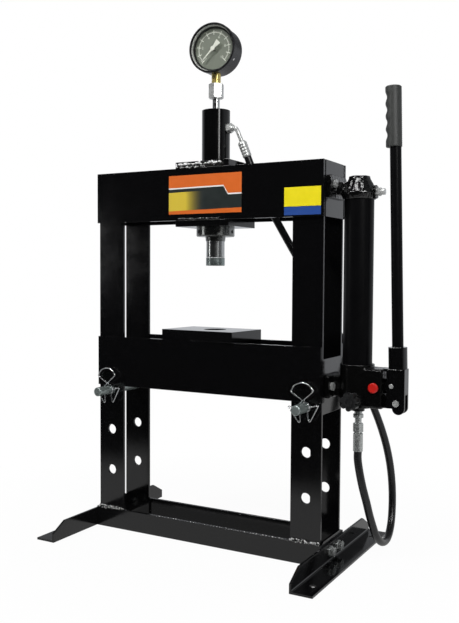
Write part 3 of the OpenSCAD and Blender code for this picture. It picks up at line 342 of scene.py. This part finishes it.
def add_wire(name, points, radius, mat, body, sides=6):
    data = bpy.data.curves.new(name, "CURVE")
    data.dimensions = "3D"
    data.bevel_depth = radius
    data.bevel_resolution = sides
    data.use_fill_caps = True
    line = data.splines.new("POLY")
    line.points.add(len(points) - 1)
    for point, q in zip(line.points, points):
        point.co = (*q, 1)
    line.use_smooth = True
    data.materials.append(mat)
    return dress(bpy.data.objects.new(name, data), body)


def joined(shapes):
    verts, faces = [], []
    for more_verts, more_faces in shapes:
        faces += [tuple(i + len(verts) for i in face) for face in more_faces]
        verts += more_verts
    return verts, faces


def grid(rows, closed_ends=True):
    """Faces over rings of equally many points."""
    count = len(rows[0])
    verts = [p for row in rows for p in row]
    faces = []
    for i in range(len(rows) - 1):
        for k in range(count):
            a, b = i * count + k, i * count + (k + 1) % count
            faces.append((a, b, b + count, a + count))
    if closed_ends:
        faces.append(tuple(range(count))[::-1])
        faces.append(tuple(range(len(verts) - count, len(verts))))
    return verts, faces


def turns(count):
    """Equal angles round a circle."""
    return [k * math.tau / count for k in range(count)]


def circle(radius, z, count):
    """Points round the Z axis, with the first one again at the end."""
    return [Vector((radius * math.cos(a), radius * math.sin(a), z)) for a in turns(count) + [math.tau]]


def tube(path, radii, sides=24):
    """A round bar along a path, with a radius at each point."""
    rows, side = [], None
    for i, p in enumerate(path):
        ahead = (path[min(i + 1, len(path) - 1)] - path[max(i - 1, 0)]).normalized()
        side = ahead.orthogonal() if side is None else side
        side = (side - ahead * side.dot(ahead)).normalized()
        other = ahead.cross(side)
        rows.append([p + (side * math.cos(a) + other * math.sin(a)) * radii[i] for a in turns(sides)])
    return grid(rows)


def curve_points(p, steps):
    """Points of the smooth curve through p, the same curve as in the solids."""
    p = [Vector(q) for q in p]

    def knot(i):
        if i < 0:
            return 2 * p[0] - p[1]
        if i >= len(p):
            return 2 * p[-1] - p[-2]
        return p[i]

    out = []
    for i in range(len(p) - 1):
        a, b, c, d = (knot(i + k) for k in (-1, 0, 1, 2))
        for s in range(steps):
            t = s / steps
            out.append((2 * b + (c - a) * t + (2 * a - 5 * b + 4 * c - d) * t * t
                        + (3 * b - a - 3 * c + d) * t ** 3) / 2)
    return out + [p[-1]]


# Hose
HOSE_D = 0.0145
HOSE_ROUTE = [Vector(q) / 1000 for q in (
    (300, 0, 207), (300, 0, 192), (303, 1, 170), (308, 4, 142), (314, 10, 112), (318, 22, 79),
    (322, 43, 43), (324, 71, 23), (324, 103, 21.5), (322, 130, 40), (319, 147, 74), (316, 153, 113),
    (312, 151, 153), (306, 144, 192), (298, 133, 230), (288, 119, 268), (275, 103, 310),
    (258, 88, 354), (238, 75, 400), (214, 65, 448), (189, 57, 497), (163, 48, 545),
    (137, 40, 592), (111, 30, 642), (88, 20, 692), (72, 11, 735), (66, 8, 752))]
hose_line = curve_points(HOSE_ROUTE, steps=8)
hose = add_wire("hose_skin", hose_line, HOSE_D / 2, HOSE, "frame", sides=8)
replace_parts(hose, "hose")


# Upper hose fitting: a sleeve crimped in rings, and a bent pipe into the port's nut
SLEEVE_R, SLEEVE_LENGTH, SLEEVE_TAPER, SLEEVE_MOUTH = 0.00875, 0.032, 0.003, 0.0015
CRIMPS, CRIMP_DEPTH, CRIMP_STEPS = 5, 0.0006, 60
PIPE_R, PIPE_IN_NUT, PIPE_IN_SLEEVE = 0.004, 0.004, 0.001
PIPE_STRAIGHT = 0.009
PIPE_BEND = Vector((0.015, 0.0004, -0.0025))


def crimped(start, ahead, length):
    """A sleeve with pressed rings and a tapered end."""
    path, radii = [], []
    straight = length - SLEEVE_TAPER
    for i in range(CRIMP_STEPS + 1):
        t = i / CRIMP_STEPS * straight
        path.append(start + ahead * t)
        ring = max(0, math.cos(t / straight * CRIMPS * math.tau)) ** 0.5
        radii.append(SLEEVE_R - CRIMP_DEPTH * ring)
    path.append(start + ahead * length)
    radii.append(PIPE_R + SLEEVE_MOUTH)
    return tube(path, radii, sides=32)


def upper_fitting():
    ahead = (HOSE_ROUTE[-1] - HOSE_ROUTE[-2]).normalized()
    nut_lo, nut_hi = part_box("port_nut")
    port = Vector((nut_lo.x + PIPE_IN_NUT, 0, (nut_lo.z + nut_hi.z) / 2))
    top = HOSE_ROUTE[-1] + ahead * SLEEVE_LENGTH
    bend = curve_points([port, port + Vector((PIPE_STRAIGHT, 0, 0)), port + PIPE_BEND,
                         top + ahead * PIPE_STRAIGHT, top - ahead * PIPE_IN_SLEEVE], steps=8)
    sleeve = crimped(HOSE_ROUTE[-1], ahead, SLEEVE_LENGTH)
    return joined([sleeve, tube(bend, [PIPE_R] * len(bend), sides=20)])


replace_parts(add_mesh("upper_fitting_skin", upper_fitting(), PLATED, "frame"),
            "hose_upper_fitting")


# Clips, bent from one wire as in the solids
CLIP_R, HUG_GAP, HUG_STEP = 0.0011, 0.0004, 0.0015
PIN_OUT, CLIP_SHARE = 0.042, 0.83
WING_REACH, WING_RISE = 0.019, 0.19
TIP_GAP, TIP_DROP = 0.0007, 0.016
LOOP_R, LOOP_H, LOOP_RISE = 0.0212, 0.0163, 3.2
HUG_ANGLES = (-52, -26, 0, 26, 52)
LOOP_ANGLES = (182, 164, 140, 116)
CLIP_LEAN = math.radians(-5.5)


def clip_half(pin_r):
    """Half of the wire about the pin's centre: through it, out to the wing, round it and into the loop."""
    hug, off = pin_r + CLIP_R + HUG_GAP, CLIP_R + HUG_STEP
    wing_x, wing_z = pin_r + WING_REACH, 2 * pin_r * WING_RISE
    tip_x, tip_z = pin_r + TIP_GAP, -pin_r - TIP_DROP
    half = [Vector(q) for q in (
        (0.002, 0, 0), (pin_r + 0.001, 0, 0), (wing_x * 0.65, 0, wing_z * 0.5),
        (wing_x - 0.0025, 0, wing_z), (wing_x, 0, wing_z - 0.0006), (wing_x - 0.0003, 0, wing_z - 0.0032),
        (tip_x + 0.0028, off * 0.5, tip_z + 0.0028), (tip_x, off * 0.7, tip_z),
        (tip_x - 0.0026, off * 0.9, tip_z + 0.0026))]
    for a in map(math.radians, HUG_ANGLES):
        half.append(Vector((hug * math.cos(a), off, hug * math.sin(a))))
    for d in LOOP_ANGLES:
        a = math.radians(d)
        back = off * (d - 90) / (LOOP_ANGLES[0] - 90)
        half.append(Vector((LOOP_R * math.cos(a), back, LOOP_RISE * pin_r + LOOP_H * math.sin(a))))
    return half


def clip_points(pin):
    lo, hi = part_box("bed_pin_" + pin)
    pin_r = (hi.x - lo.x) / 2
    at = Vector(((lo.x + hi.x) / 2, lo.y + CLIP_SHARE * PIN_OUT, (lo.z + hi.z) / 2))
    half = clip_half(pin_r)
    top = Vector((0, 0, LOOP_RISE * pin_r + LOOP_H))
    wire = half + [top] + [Vector((-q.x, -q.y, q.z)) for q in reversed(half)]
    lean = Matrix.Rotation(CLIP_LEAN, 3, "Y")
    return [at + lean @ q for q in curve_points(wire, steps=7)]


for pin in ("left", "right"):
    clip = add_wire("clip_wire_" + pin, clip_points(pin), CLIP_R, WIRE, "pin_" + pin, sides=5)
    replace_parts(clip, "pin_clip_" + pin)


# Castings: a copy of the solid with round edges and an uneven skin
LUMPS = ((160, 1), (420, 0.5))


def cast_copy(name, node, body, mat, voxel, swell):
    made = bpy.data.objects.new(name, nodes[node].data.copy())
    dress(made, body)
    skin = made.modifiers.new("skin", "REMESH")
    skin.mode = "VOXEL"
    skin.voxel_size = voxel
    soft = made.modifiers.new("soft", "SMOOTH")
    soft.iterations = 3
    data = bpy.data.meshes.new_from_object(made.evaluated_get(bpy.context.evaluated_depsgraph_get()))
    made.modifiers.clear()
    made.data = data
    outward = [v.normal.copy() for v in data.vertices]
    for v, out in zip(data.vertices, outward):
        v.co += out * swell * sum(share * noise.noise(v.co * density) for density, share in LUMPS)
    for poly in data.polygons:
        poly.use_smooth = True
    data.materials.clear()
    data.materials.append(mat)
    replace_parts(made, node)


cast_copy("pump_casting", "pump_body", "frame", CASTING, voxel=0.0013, swell=0.00035)
cast_copy("cap_casting", "reservoir_cap", "frame", CAP, voxel=0.001, swell=0.0005)


# Grip: finger waves on the frame's side, small ribs on the other
GRIP_LENGTH, GRIP_R, GRIP_SHIFT, GRIP_PAST_TUBE = 0.1055, 0.014, -0.0029, 0.004
GRIP_LEAN = math.radians(-1.5)
GRIP_STEPS, GRIP_SIDES = 160, 72
FINGERS, FINGER_PITCH, FIRST_FINGER, FINGER_SWING = 4, 0.022, 0.0205, 0.0015
RIB_PITCH, RIB_H, RIB_SIDE = 0.0034, 0.0005, 0.55
FOOT_EDGE, CROWN = 0.0008, 0.0026
CROWN_STEPS = (0.0012, 0.0003, 0)


def grip_radius(s, a):
    """The grip's radius at a height over its foot and an angle from the side away from the frame."""
    foot = FOOT_EDGE - min(s, FOOT_EDGE)
    over = max(0, (s - GRIP_LENGTH + CROWN) / CROWN)
    crown = CROWN * (1 - math.sqrt(max(0, 1 - over ** 2)))
    wave = 0
    if FIRST_FINGER - FINGER_PITCH / 2 < s < FIRST_FINGER + (FINGERS - 0.5) * FINGER_PITCH:
        wave = FINGER_SWING * (1 + math.cos((s - FIRST_FINGER) / FINGER_PITCH * math.tau))
    finger = max(0.0, -math.cos(a)) ** 1.5
    back = max(0.0, math.cos(a) - RIB_SIDE) / (1 - RIB_SIDE)
    rib = RIB_H * min(1, back * 3) * max(0, math.sin(s / RIB_PITCH * math.tau))
    return GRIP_R - foot - crown - wave * finger + rib


def grip_shape():
    tube_lo, tube_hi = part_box("handle_tube")
    centre = (tube_lo + tube_hi) / 2
    lean = Matrix.Rotation(GRIP_LEAN, 3, "Y")
    base = (tube_hi.z - tube_lo.z) / 2 + GRIP_PAST_TUBE - GRIP_LENGTH
    heights = [0, FOOT_EDGE / 2] + [i * GRIP_LENGTH / GRIP_STEPS for i in range(1, GRIP_STEPS - 2)]
    heights += [GRIP_LENGTH - d for d in CROWN_STEPS]
    rows = []
    for s in heights:
        row = []
        for a in turns(GRIP_SIDES):
            r = grip_radius(s, a)
            row.append(centre + lean @ Vector((GRIP_SHIFT + r * math.cos(a), r * math.sin(a), base + s)))
        rows.append(row)
    return grid(rows)


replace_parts(add_mesh("grip_skin", grip_shape(), GRIP, "lever"), "handle_grip")


# Weld beads
head_lo, head_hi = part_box("head_front_plate")
top_lo, top_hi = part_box("barrel_top_plate")
low_lo, low_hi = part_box("barrel_bottom_plate")
base_lo, base_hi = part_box("base_front_plate")
bar_lo, bar_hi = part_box("upright_front_right")
rear_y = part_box("head_rear_plate")[0].y
BEAD_STEP, BEAD_WANDER, BEAD_RIPPLE, BEAD_TAIL = 0.35, 0.35, 0.12, 0.35
# A bead's share of lumps
NEAT, ROUGH, COARSE = 0.35, 0.6, 0.9


def bead(start, end, radius, seed, lump):
    """Overlapping ripples of weld from start to end."""
    length = (end - start).length
    count = max(6, int(length / (radius * BEAD_STEP)))
    path, radii = [], []
    for i in range(count + 1):
        p = start.lerp(end, i / count)
        key = p * (0.9 / radius) + Vector((seed * 7.3, seed * 3.1, 0))
        path.append(p + noise.noise_vector(key) * radius * BEAD_WANDER)
        ripple = 1 + BEAD_RIPPLE * math.cos(i * 2.1)
        from_end = min(i, count - i) / count * length
        tail = min(1, BEAD_TAIL + from_end / (2 * radius))
        radii.append(radius * ripple * tail * (1 + lump * noise.noise(key * 1.7)))
    return tube(path, radii, sides=10)


HEAD_BEAD_R, HEAD_BEAD_INSET, HEAD_BEAD_SHORT = 0.0021, 0.0022, 0.003
FOOT_BEAD_R, FOOT_BEAD_OUT, FOOT_BEAD_UP = 0.0024, 0.0008, 0.0005
CORNER_BEAD_R, CORNER_BEAD_Y, CORNER_BEAD_Z = 0.0016, -0.0415, (0.004, 0.034)
LOW_BEAD_R, LOW_BEAD_OUT, LOW_BEAD_ENDS = 0.0013, 0.0002, (0.003, 0.02)
BARREL_BEAD_R, BARREL_BEAD_OUT = 0.0016, 0.0006


def frame_beads():
    """The runs of weld on the frame, each a start, an end, a radius and a share of lumps."""
    runs = []
    for side in (-1, 1):
        x = side * (head_hi.x - HEAD_BEAD_INSET)
        for y in (head_hi.y, rear_y):
            runs.append((Vector((x, y, head_lo.z + HEAD_BEAD_SHORT)),
                         Vector((x, y, head_hi.z - HEAD_BEAD_SHORT)), HEAD_BEAD_R, NEAT))
        for y in (base_hi.y - FOOT_BEAD_OUT, FOOT_BEAD_OUT - base_hi.y):
            z = base_hi.z + FOOT_BEAD_UP
            runs.append((Vector((side * bar_lo.x, y, z)), Vector((side * bar_hi.x, y, z)),
                         FOOT_BEAD_R, ROUGH))
        runs.append((*(Vector((side * base_hi.x, CORNER_BEAD_Y, z)) for z in CORNER_BEAD_Z),
                     CORNER_BEAD_R, NEAT))
    for y in (low_lo.y - LOW_BEAD_OUT, low_hi.y + LOW_BEAD_OUT):
        runs.append((Vector((low_lo.x + LOW_BEAD_ENDS[0], y, low_hi.z)),
                     Vector((low_hi.x - LOW_BEAD_ENDS[1], y, low_hi.z)), LOW_BEAD_R, COARSE))
    return runs


def frame_welds():
    """Painted beads on head, base and barrel plates, and a ring of weld round the barrel's foot."""
    shapes = [bead(start, end, radius, seed, lump)
              for seed, (start, end, radius, lump) in enumerate(frame_beads())]
    barrel_lo, barrel_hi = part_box("cylinder_barrel")
    ring = circle((barrel_hi.x - barrel_lo.x) / 2 + BARREL_BEAD_OUT, top_hi.z + BARREL_BEAD_OUT, 90)
    shapes.append(tube(ring, [BARREL_BEAD_R * (1 + 0.4 * noise.noise(p * 300)) for p in ring], sides=8))
    return joined(shapes)


add_mesh("weld_beads", frame_welds(), WELD, "frame")


# Pale grains along the welds: weld spatter, made pale as painted glints
SPECK_SIDES = 7
SPECK_RINGS = (0.3, 0.8, 1.4, 2.0, 2.8)
SPECK_DEPTH = 0.6


def speck(at, radius, wide):
    """A small round grain, flat in depth."""
    rows = []
    for b in SPECK_RINGS:
        across = radius * math.sin(b)
        rows.append([at + Vector((wide * across * math.cos(a), SPECK_DEPTH * across * math.sin(a),
                                  radius * math.cos(b))) for a in turns(SPECK_SIDES)])
    return grid(rows)


def specks(runs):
    """Grains along runs, each (x from, x to, y, z, count, spread, least radius, most radius)."""
    shapes = []
    for row, (x0, x1, y, z, count, spread, least, most) in enumerate(runs):
        start, end = Vector((x0, y, z)), Vector((x1, y, z))
        for i in range(count):
            key = Vector((i * 1.7 + row * 11.3, row * 5.9, 0.4))
            off = noise.noise_vector(key) * spread
            at = start.lerp(end, (i + 0.5) / count) + Vector((off.x * 2, 0, off.z * 1.6))
            radius = least + (most - least) * min(1, 2 * abs(noise.noise(key * 2.3)))
            shapes.append(speck(at, radius, wide=1 + abs(noise.noise(key * 3.7))))
    return joined(shapes)


EDGE_FROM = -0.12
foot_y, foot_z = base_hi.y - 0.003, base_hi.z + 0.0016
front_y, front_z = base_lo.y + 0.0002, base_hi.z - 0.0004
plate_y = top_lo.y - 0.0004
# The base's top edge, the right foot, the head's lower edge, two rows on the top plate, the left foot,
# and the base's front edge below each upright
add_mesh("weld_painted_glints", specks([
    (EDGE_FROM, bar_lo.x - 0.004, base_lo.y + 0.0016, base_hi.z, 46, 0.001, 0.0003, 0.0014),
    (bar_lo.x, bar_hi.x, foot_y, foot_z, 38, 0.0034, 0.0006, 0.0016),
    (low_lo.x + 0.004, low_hi.x - 0.02, head_lo.y - 0.0002, head_lo.z + 0.0034, 26, 0.0008, 0.0003, 0.0009),
    (top_lo.x + 0.002, top_hi.x - 0.016, plate_y, top_lo.z + 0.0062, 88, 0.0034, 0.001, 0.0025),
    (top_lo.x + 0.002, top_hi.x - 0.045, plate_y, top_lo.z + 0.0034, 56, 0.0024, 0.0009, 0.0022),
    (-bar_hi.x, -bar_lo.x, foot_y, foot_z, 34, 0.0034, 0.0006, 0.0016),
    (-bar_hi.x, -bar_lo.x, front_y, front_z, 14, 0.0016, 0.0004, 0.0012),
    (bar_lo.x, bar_hi.x, front_y, front_z, 16, 0.0016, 0.0004, 0.0012)]),
    PALE_GLINT, "frame")

lever_lo, lever_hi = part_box("lever_bracket")
cheek_y, cheek_z = lever_lo.y, lever_hi.z - 0.0004
plate_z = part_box("handle_tube")[0].z - 0.0034
# Pale grains as painted glints on the lever's plate under the handle, and on the top edge of its cheek
add_mesh("lever_painted_glints", specks([
    (lever_lo.x + 0.006, lever_hi.x - 0.004, cheek_y - 0.0001, plate_z, 16, 0.0005, 0.0002, 0.0006),
    (lever_hi.x - 0.027, lever_hi.x - 0.006, cheek_y - 0.0003, cheek_z, 8, 0.0004, 0.0002, 0.0006)]),
    PALE_GLINT, "lever")

TOP_BEAD_R, TOP_BEAD_UP, TOP_BEAD_ENDS, TOP_BEAD_SEED = 0.0026, 0.0045, (0.003, 0.01), 40
top_bead_z = top_lo.z + TOP_BEAD_UP
add_mesh("top_plate_weld", bead(Vector((top_lo.x + TOP_BEAD_ENDS[0], top_lo.y, top_bead_z)),
                                Vector((top_hi.x - TOP_BEAD_ENDS[1], top_lo.y, top_bead_z)),
                                TOP_BEAD_R, TOP_BEAD_SEED, COARSE),
         WELD, "frame")


# Painted highlight: a pale ring where the nose piece meets the ram, for the bright edge line there
NOSE_EDGE_R, NOSE_EDGE_SINK, NOSE_EDGE_DOWN = 0.0006, 0.0002, 0.0012
nose_lo, nose_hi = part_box("ram_nose")
ram_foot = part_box("ram")[0].z
nose_highlight_ring = circle((nose_hi.x - nose_lo.x) / 2 - NOSE_EDGE_SINK, ram_foot - NOSE_EDGE_DOWN, 80)
add_mesh("nose_painted_highlight", tube(nose_highlight_ring, [NOSE_EDGE_R] * len(nose_highlight_ring), sides=8), PALE_GLINT, "ram")


# Stickers: plain fields of colour on the head's front
STICKER_LIFT, LAYER_LIFT = 0.0001, 0.00006


def sticker(name, at, size, fields, mats):
    """Flat fields; at is the x of the left edge and the height over the head's lower edge.

    A field is a finish's place in the list, a layer, and corners as shares of the sticker's size."""
    verts, faces, picks = [], [], []
    for pick, layer, corners in fields:
        y = head_lo.y - STICKER_LIFT - layer * LAYER_LIFT
        faces.append(tuple(range(len(verts), len(verts) + len(corners))))
        verts += [Vector((at[0] + u * size[0], y, head_lo.z + at[1] + v * size[1])) for u, v in corners]
        picks.append(pick)
    return add_mesh(name, (verts, faces), mats, "frame", smooth=False, picks=picks)


LINE = ((0, 0.646), (0.76, 0.666), (0.82, 0.454), (1, 0.457))
LINE_W = 0.035
sticker("head_sticker", (-0.0745, 0.012), (0.161, 0.0745), (
    (0, 0, ((0, 0), (1, 0), (1, 1), (0, 1))),
    (1, 1, ((0, 0.085), (1, 0.12), *reversed(LINE))),
    (2, 2, ((0, 0.085), (0.5, 0.1025), (0.5, 0.577), (0, 0.563))),
    (3, 2, (*LINE, *((u, v + LINE_W) for u, v in reversed(LINE))))),
    [ORANGE, SLATE, YELLOW, WHITE])
sticker("corner_sticker", (0.174, 0.003), (0.0715, 0.05), (
    (0, 0, ((0, 0.31), (1, 0.31), (1, 1), (0, 1))),
    (1, 0, ((0, 0), (1, 0), (1, 0.30), (0, 0.30)))),
    [LEMON, BLUE])


# Gauge: scale on the dial, and rings between dial and glass
GAUGE_TURN = math.radians(6)
DIAL_FRONT, GLASS_GAP, MARK_LIFT = 0.0005, 0.0013, 0.0002
SWEEP, MAJOR, MINOR = 270, 10, 5
ARC_SHARE, ARC_W, ARC_STEPS = 0.7, 0.0009, 90
NUMBER_SIZE, NUMBER_SHARE, NUMBER_EVERY = 0.0068, 0.54, 2
# A mark's reach inwards and outwards from the arc, and half its width
LONG_MARK, SHORT_MARK = (0.004, 0.005, 0.0007), (0, 0.0026, 0.0003)
face_out = Vector((math.sin(GAUGE_TURN), -math.cos(GAUGE_TURN), 0))
face_right = Vector((math.cos(GAUGE_TURN), math.sin(GAUGE_TURN), 0))
face_up = Vector((0, 0, 1))
dial_lo, dial_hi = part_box("gauge_dial")
dial_r = (dial_hi.z - dial_lo.z) / 2
dial_at = (dial_lo + dial_hi) / 2 + face_out * DIAL_FRONT


def on_dial(radius, degrees, lift=MARK_LIFT):
    """A point at an angle from straight up, clockwise as seen from the front."""
    a = math.radians(degrees)
    return dial_at + face_out * lift + (face_right * math.sin(a) + face_up * math.cos(a)) * radius


def dial_patch(inner, outer, start, end):
    """A flat patch between two radii and two angles."""
    quad = [on_dial(inner, start), on_dial(inner, end), on_dial(outer, end), on_dial(outer, start)]
    return quad, [(0, 1, 2, 3)]


def scale_marks():
    arc_r = dial_r * ARC_SHARE
    arc = [-SWEEP / 2 + SWEEP * i / ARC_STEPS for i in range(ARC_STEPS + 1)]
    shapes = [dial_patch(arc_r, arc_r + ARC_W, a, b) for a, b in zip(arc, arc[1:])]
    for i in range(MAJOR * MINOR + 1):
        a = -SWEEP / 2 + SWEEP * i / (MAJOR * MINOR)
        inward, outward, half_w = SHORT_MARK if i % MINOR else LONG_MARK
        w = math.degrees(half_w / arc_r)
        shapes.append(dial_patch(arc_r - inward, arc_r + outward, a - w, a + w))
    return joined(shapes)


add_mesh("dial_scale", scale_marks(), DIAL_MARK, "frame", smooth=False)


def dial_numbers():
    shapes = []
    for i in range(0, MAJOR + 1, NUMBER_EVERY):
        text = bpy.data.curves.new("number", "FONT")
        text.body = str(i)
        text.size = NUMBER_SIZE
        text.align_x = "CENTER"
        text.align_y = "CENTER"
        made = bpy.data.objects.new("number", text)
        scene.collection.objects.link(made)
        flat = bpy.data.meshes.new_from_object(made.evaluated_get(bpy.context.evaluated_depsgraph_get()))
        at = on_dial(dial_r * NUMBER_SHARE, -SWEEP / 2 + SWEEP * i / MAJOR)
        shapes.append(([at + face_right * v.co.x + face_up * v.co.y for v in flat.vertices],
                       [tuple(p.vertices) for p in flat.polygons]))
        bpy.data.objects.remove(made)
        bpy.data.meshes.remove(flat)
    return joined(shapes)


add_mesh("dial_numbers", dial_numbers(), DIAL_MARK, "frame", smooth=False)


lens_lo, lens_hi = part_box("gauge_lens")
lens_out = ((lens_lo + lens_hi) / 2 - dial_at).dot(face_out) - GLASS_GAP
RING_SIDES = 96
ring_foot, wall_top, wall_foot = lens_out * 0.42, lens_out * 0.4, 0.0003


def turned(profile):
    """A closed ring about the gauge's axis from its section of radii and heights over the dial."""
    rows = [[on_dial(r, 360 * k / RING_SIDES, out) for k in range(RING_SIDES)] for r, out in profile]
    return grid(rows + rows[:1], closed_ends=False)


add_mesh("gauge_spacer_ring", turned([(dial_r - 0.0004, lens_out), (dial_r - 0.002, ring_foot),
                                      (dial_r, ring_foot), (dial_r, lens_out)]),
         INNER_RING, "frame")
# The dark wall's foot lies almost flat over the dial's edge all round: painted shade standing in for the
# rim's shadow on the dial
add_mesh("gauge_wall_and_painted_shade", turned([(dial_r - 0.0021, wall_top), (dial_r - 0.0052, wall_foot),
                                     (dial_r, wall_foot), (dial_r, wall_top)]),
         INNER_WALL_AND_SHADE, "frame")


# Case screws: heights over the case's side, and the radius at each
SCREW_HEIGHTS = (0, 0.0012, 0.0018, 0.0021)
SCREW_RADII = (0.0022, 0.0022, 0.0017, 0.0007)
SCREW_FORWARD, SCREW_SINK = 0.0092, 0.0006
SCREW_ANGLES = (0, 120, 240)


def case_screws():
    """Low heads on the case's side, behind the bezel; the photo shows the one on the right."""
    case_lo, case_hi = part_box("gauge_case")
    seat = (case_hi.z - case_lo.z) / 2 - SCREW_SINK
    centre = Vector((0, 0, dial_at.z)) + face_out * SCREW_FORWARD
    shapes = []
    for a in map(math.radians, SCREW_ANGLES):
        ahead = face_right * math.sin(a) + face_up * math.cos(a)
        path = [centre + ahead * (seat + h) for h in SCREW_HEIGHTS]
        shapes.append(tube(path, SCREW_RADII, sides=16))
    return joined(shapes)


# The heads take the pale grain finish, which paints their highlight in
add_mesh("case_screws", case_screws(), PALE_GLINT, "frame")


# Lamps

def area_light(name, at, aim, size, power, tall=None):
    data = bpy.data.lights.new(name, "AREA")
    data.energy = power
    data.shape = "RECTANGLE"
    data.size = size
    data.size_y = tall or size
    made = bpy.data.objects.new(name, data)
    made.location = at
    made.rotation_euler = (Vector(aim) - Vector(at)).to_track_quat("-Z", "Y").to_euler()
    scene.collection.objects.link(made)


area_light("key_left", at=(-1.2, -1.8, 2.2), aim=(0, 0, 0.6), size=0.35, power=27)
area_light("key_right", at=(1.6, -1.6, 2.0), aim=(0.1, 0, 0.5), size=0.5, power=21)
area_light("card_high", at=(1.24, -0.84, 1.13), aim=(0, 0, 0.85), size=0.24, power=4, tall=0.36)
area_light("card_low", at=(1.25, -0.56, 0.62), aim=(0, 0, 0.58), size=0.1, power=0.2, tall=0.3)
area_light("card_top", at=(0.2, -0.55, 1.9), aim=(0.2, 0, 0.5), size=0.5, power=8)
area_light("strip_left", at=(-1.2, -1.0, 0.6), aim=(0, 0, 0.58), size=0.2, power=1, tall=0.3)


# Background and floor

def rays(tree):
    """1 for rays from the camera or through glass, and 1 for rays off a shiny surface."""
    path = put(tree, "ShaderNodeLightPath").outputs
    return maths(tree, "MAXIMUM", path["Is Camera Ray"], path["Is Transmission Ray"]), path["Is Glossy Ray"]


# The backdrop's light in front of and behind the press, and its share low down and overhead
WALL_NEAR, WALL_FAR, WALL_DARK, WALL_BRIGHT = -0.3, 0.2, 0.02, 0.72
WALL_LOW, WALL_HIGH, WALL_OVERHEAD = 0.16, 0.32, 0.3
WALL_TINT = (0.96, 0.985, 1.03)


def make_world():
    """White behind the press and dark in front, so that black gloss shows the backdrop only at a slant."""
    world = bpy.data.worlds.new("studio")
    scene.world = world
    world.use_nodes = True
    tree = world.node_tree
    shade = tree.nodes["Background"]
    place = axes(tree, put(tree, "ShaderNodeTexCoord").outputs["Generated"])
    wall = maths(tree, "MULTIPLY", ramp(tree, place["Y"], WALL_NEAR, WALL_FAR, WALL_DARK, WALL_BRIGHT),
                 ramp(tree, place["Z"], WALL_LOW, WALL_HIGH, 1.0, WALL_OVERHEAD))
    seen = rays(tree)[0]
    tree.links.new(maths(tree, "MAXIMUM", seen, wall), shade.inputs["Strength"])
    tree.links.new(blend(tree, seen, WALL_TINT, (1, 1, 1)), shade.inputs["Color"])


make_world()

FLOOR_R, FLOOR_SIDES, FLOOR_DOWN = 2.4, 96, 0.0005
FLOOR_PAPER = (0.86, 0.86, 0.86)
WHITE_FROM, WHITE_TO, WHITE_SHARE = 0.2, 0.8, 0.96
FRONT_DARK, FRONT_BRIGHT = -0.62, -0.42
MIRROR_DARK, MIRROR_BRIGHT, BASE_SHADE, BASE_BLUR = 0.02, 0.62, 0.45, 0.01


def mixed(tree, share, first, second):
    """A surface that goes from the first shader to the second while the share goes from 0 to 1."""
    made = put(tree, "ShaderNodeMixShader")
    for source, target in zip((share, first, second), made.inputs):
        tree.links.new(source, target)
    return made.outputs[0]


def mirrored_light(tree, place):
    """The floor's light for shiny surfaces: dark a way in front of the press, in shade inside the base."""
    rims = []
    for axis, half in (("X", base_hi.x), ("Y", -base_hi.y)):
        rims.append(ramp(tree, maths(tree, "ABSOLUTE", place[axis]), half - BASE_BLUR, half, BASE_SHADE, 1.0))
    front = ramp(tree, place["Y"], FRONT_DARK, FRONT_BRIGHT, MIRROR_DARK, MIRROR_BRIGHT)
    return maths(tree, "MULTIPLY", front, maths(tree, "MAXIMUM", *rims))


def floor_finish():
    """Pale paper that keeps a soft shadow and runs out into white."""
    mat = bpy.data.materials.new("floor_paper")
    mat.use_nodes = True
    tree = mat.node_tree
    paper = tree.nodes["Principled BSDF"]
    paper.inputs["Base Color"].default_value = (*FLOOR_PAPER, 1)
    paper.inputs["Roughness"].default_value = 0.9
    paper.inputs["Specular IOR Level"].default_value = 0.1
    place = put(tree, "ShaderNodeTexCoord").outputs["Object"]
    far = put(tree, "ShaderNodeVectorMath", operation="LENGTH")
    tree.links.new(place, far.inputs[0])
    seen, glossy = rays(tree)
    white = ramp(tree, far.outputs["Value"], WHITE_FROM, WHITE_TO, WHITE_SHARE, 1.0)
    plain = mixed(tree, maths(tree, "MULTIPLY", white, seen), paper.outputs[0],
                  put(tree, "ShaderNodeEmission").outputs[0])
    mirrored = put(tree, "ShaderNodeEmission")
    tree.links.new(mirrored_light(tree, axes(tree, place)), mirrored.inputs["Strength"])
    tree.links.new(mixed(tree, glossy, plain, mirrored.outputs[0]),
                   tree.nodes["Material Output"].inputs["Surface"])
    return mat


def make_floor():
    rim = [(FLOOR_R * math.cos(a), FLOOR_R * math.sin(a), 0) for a in turns(FLOOR_SIDES)]
    data = bpy.data.meshes.new("floor")
    data.from_pydata(rim, [], [tuple(range(FLOOR_SIDES))])
    data.materials.append(floor_finish())
    made = bpy.data.objects.new("floor", data)
    made.location.z = -FLOOR_DOWN
    scene.collection.objects.link(made)


make_floor()
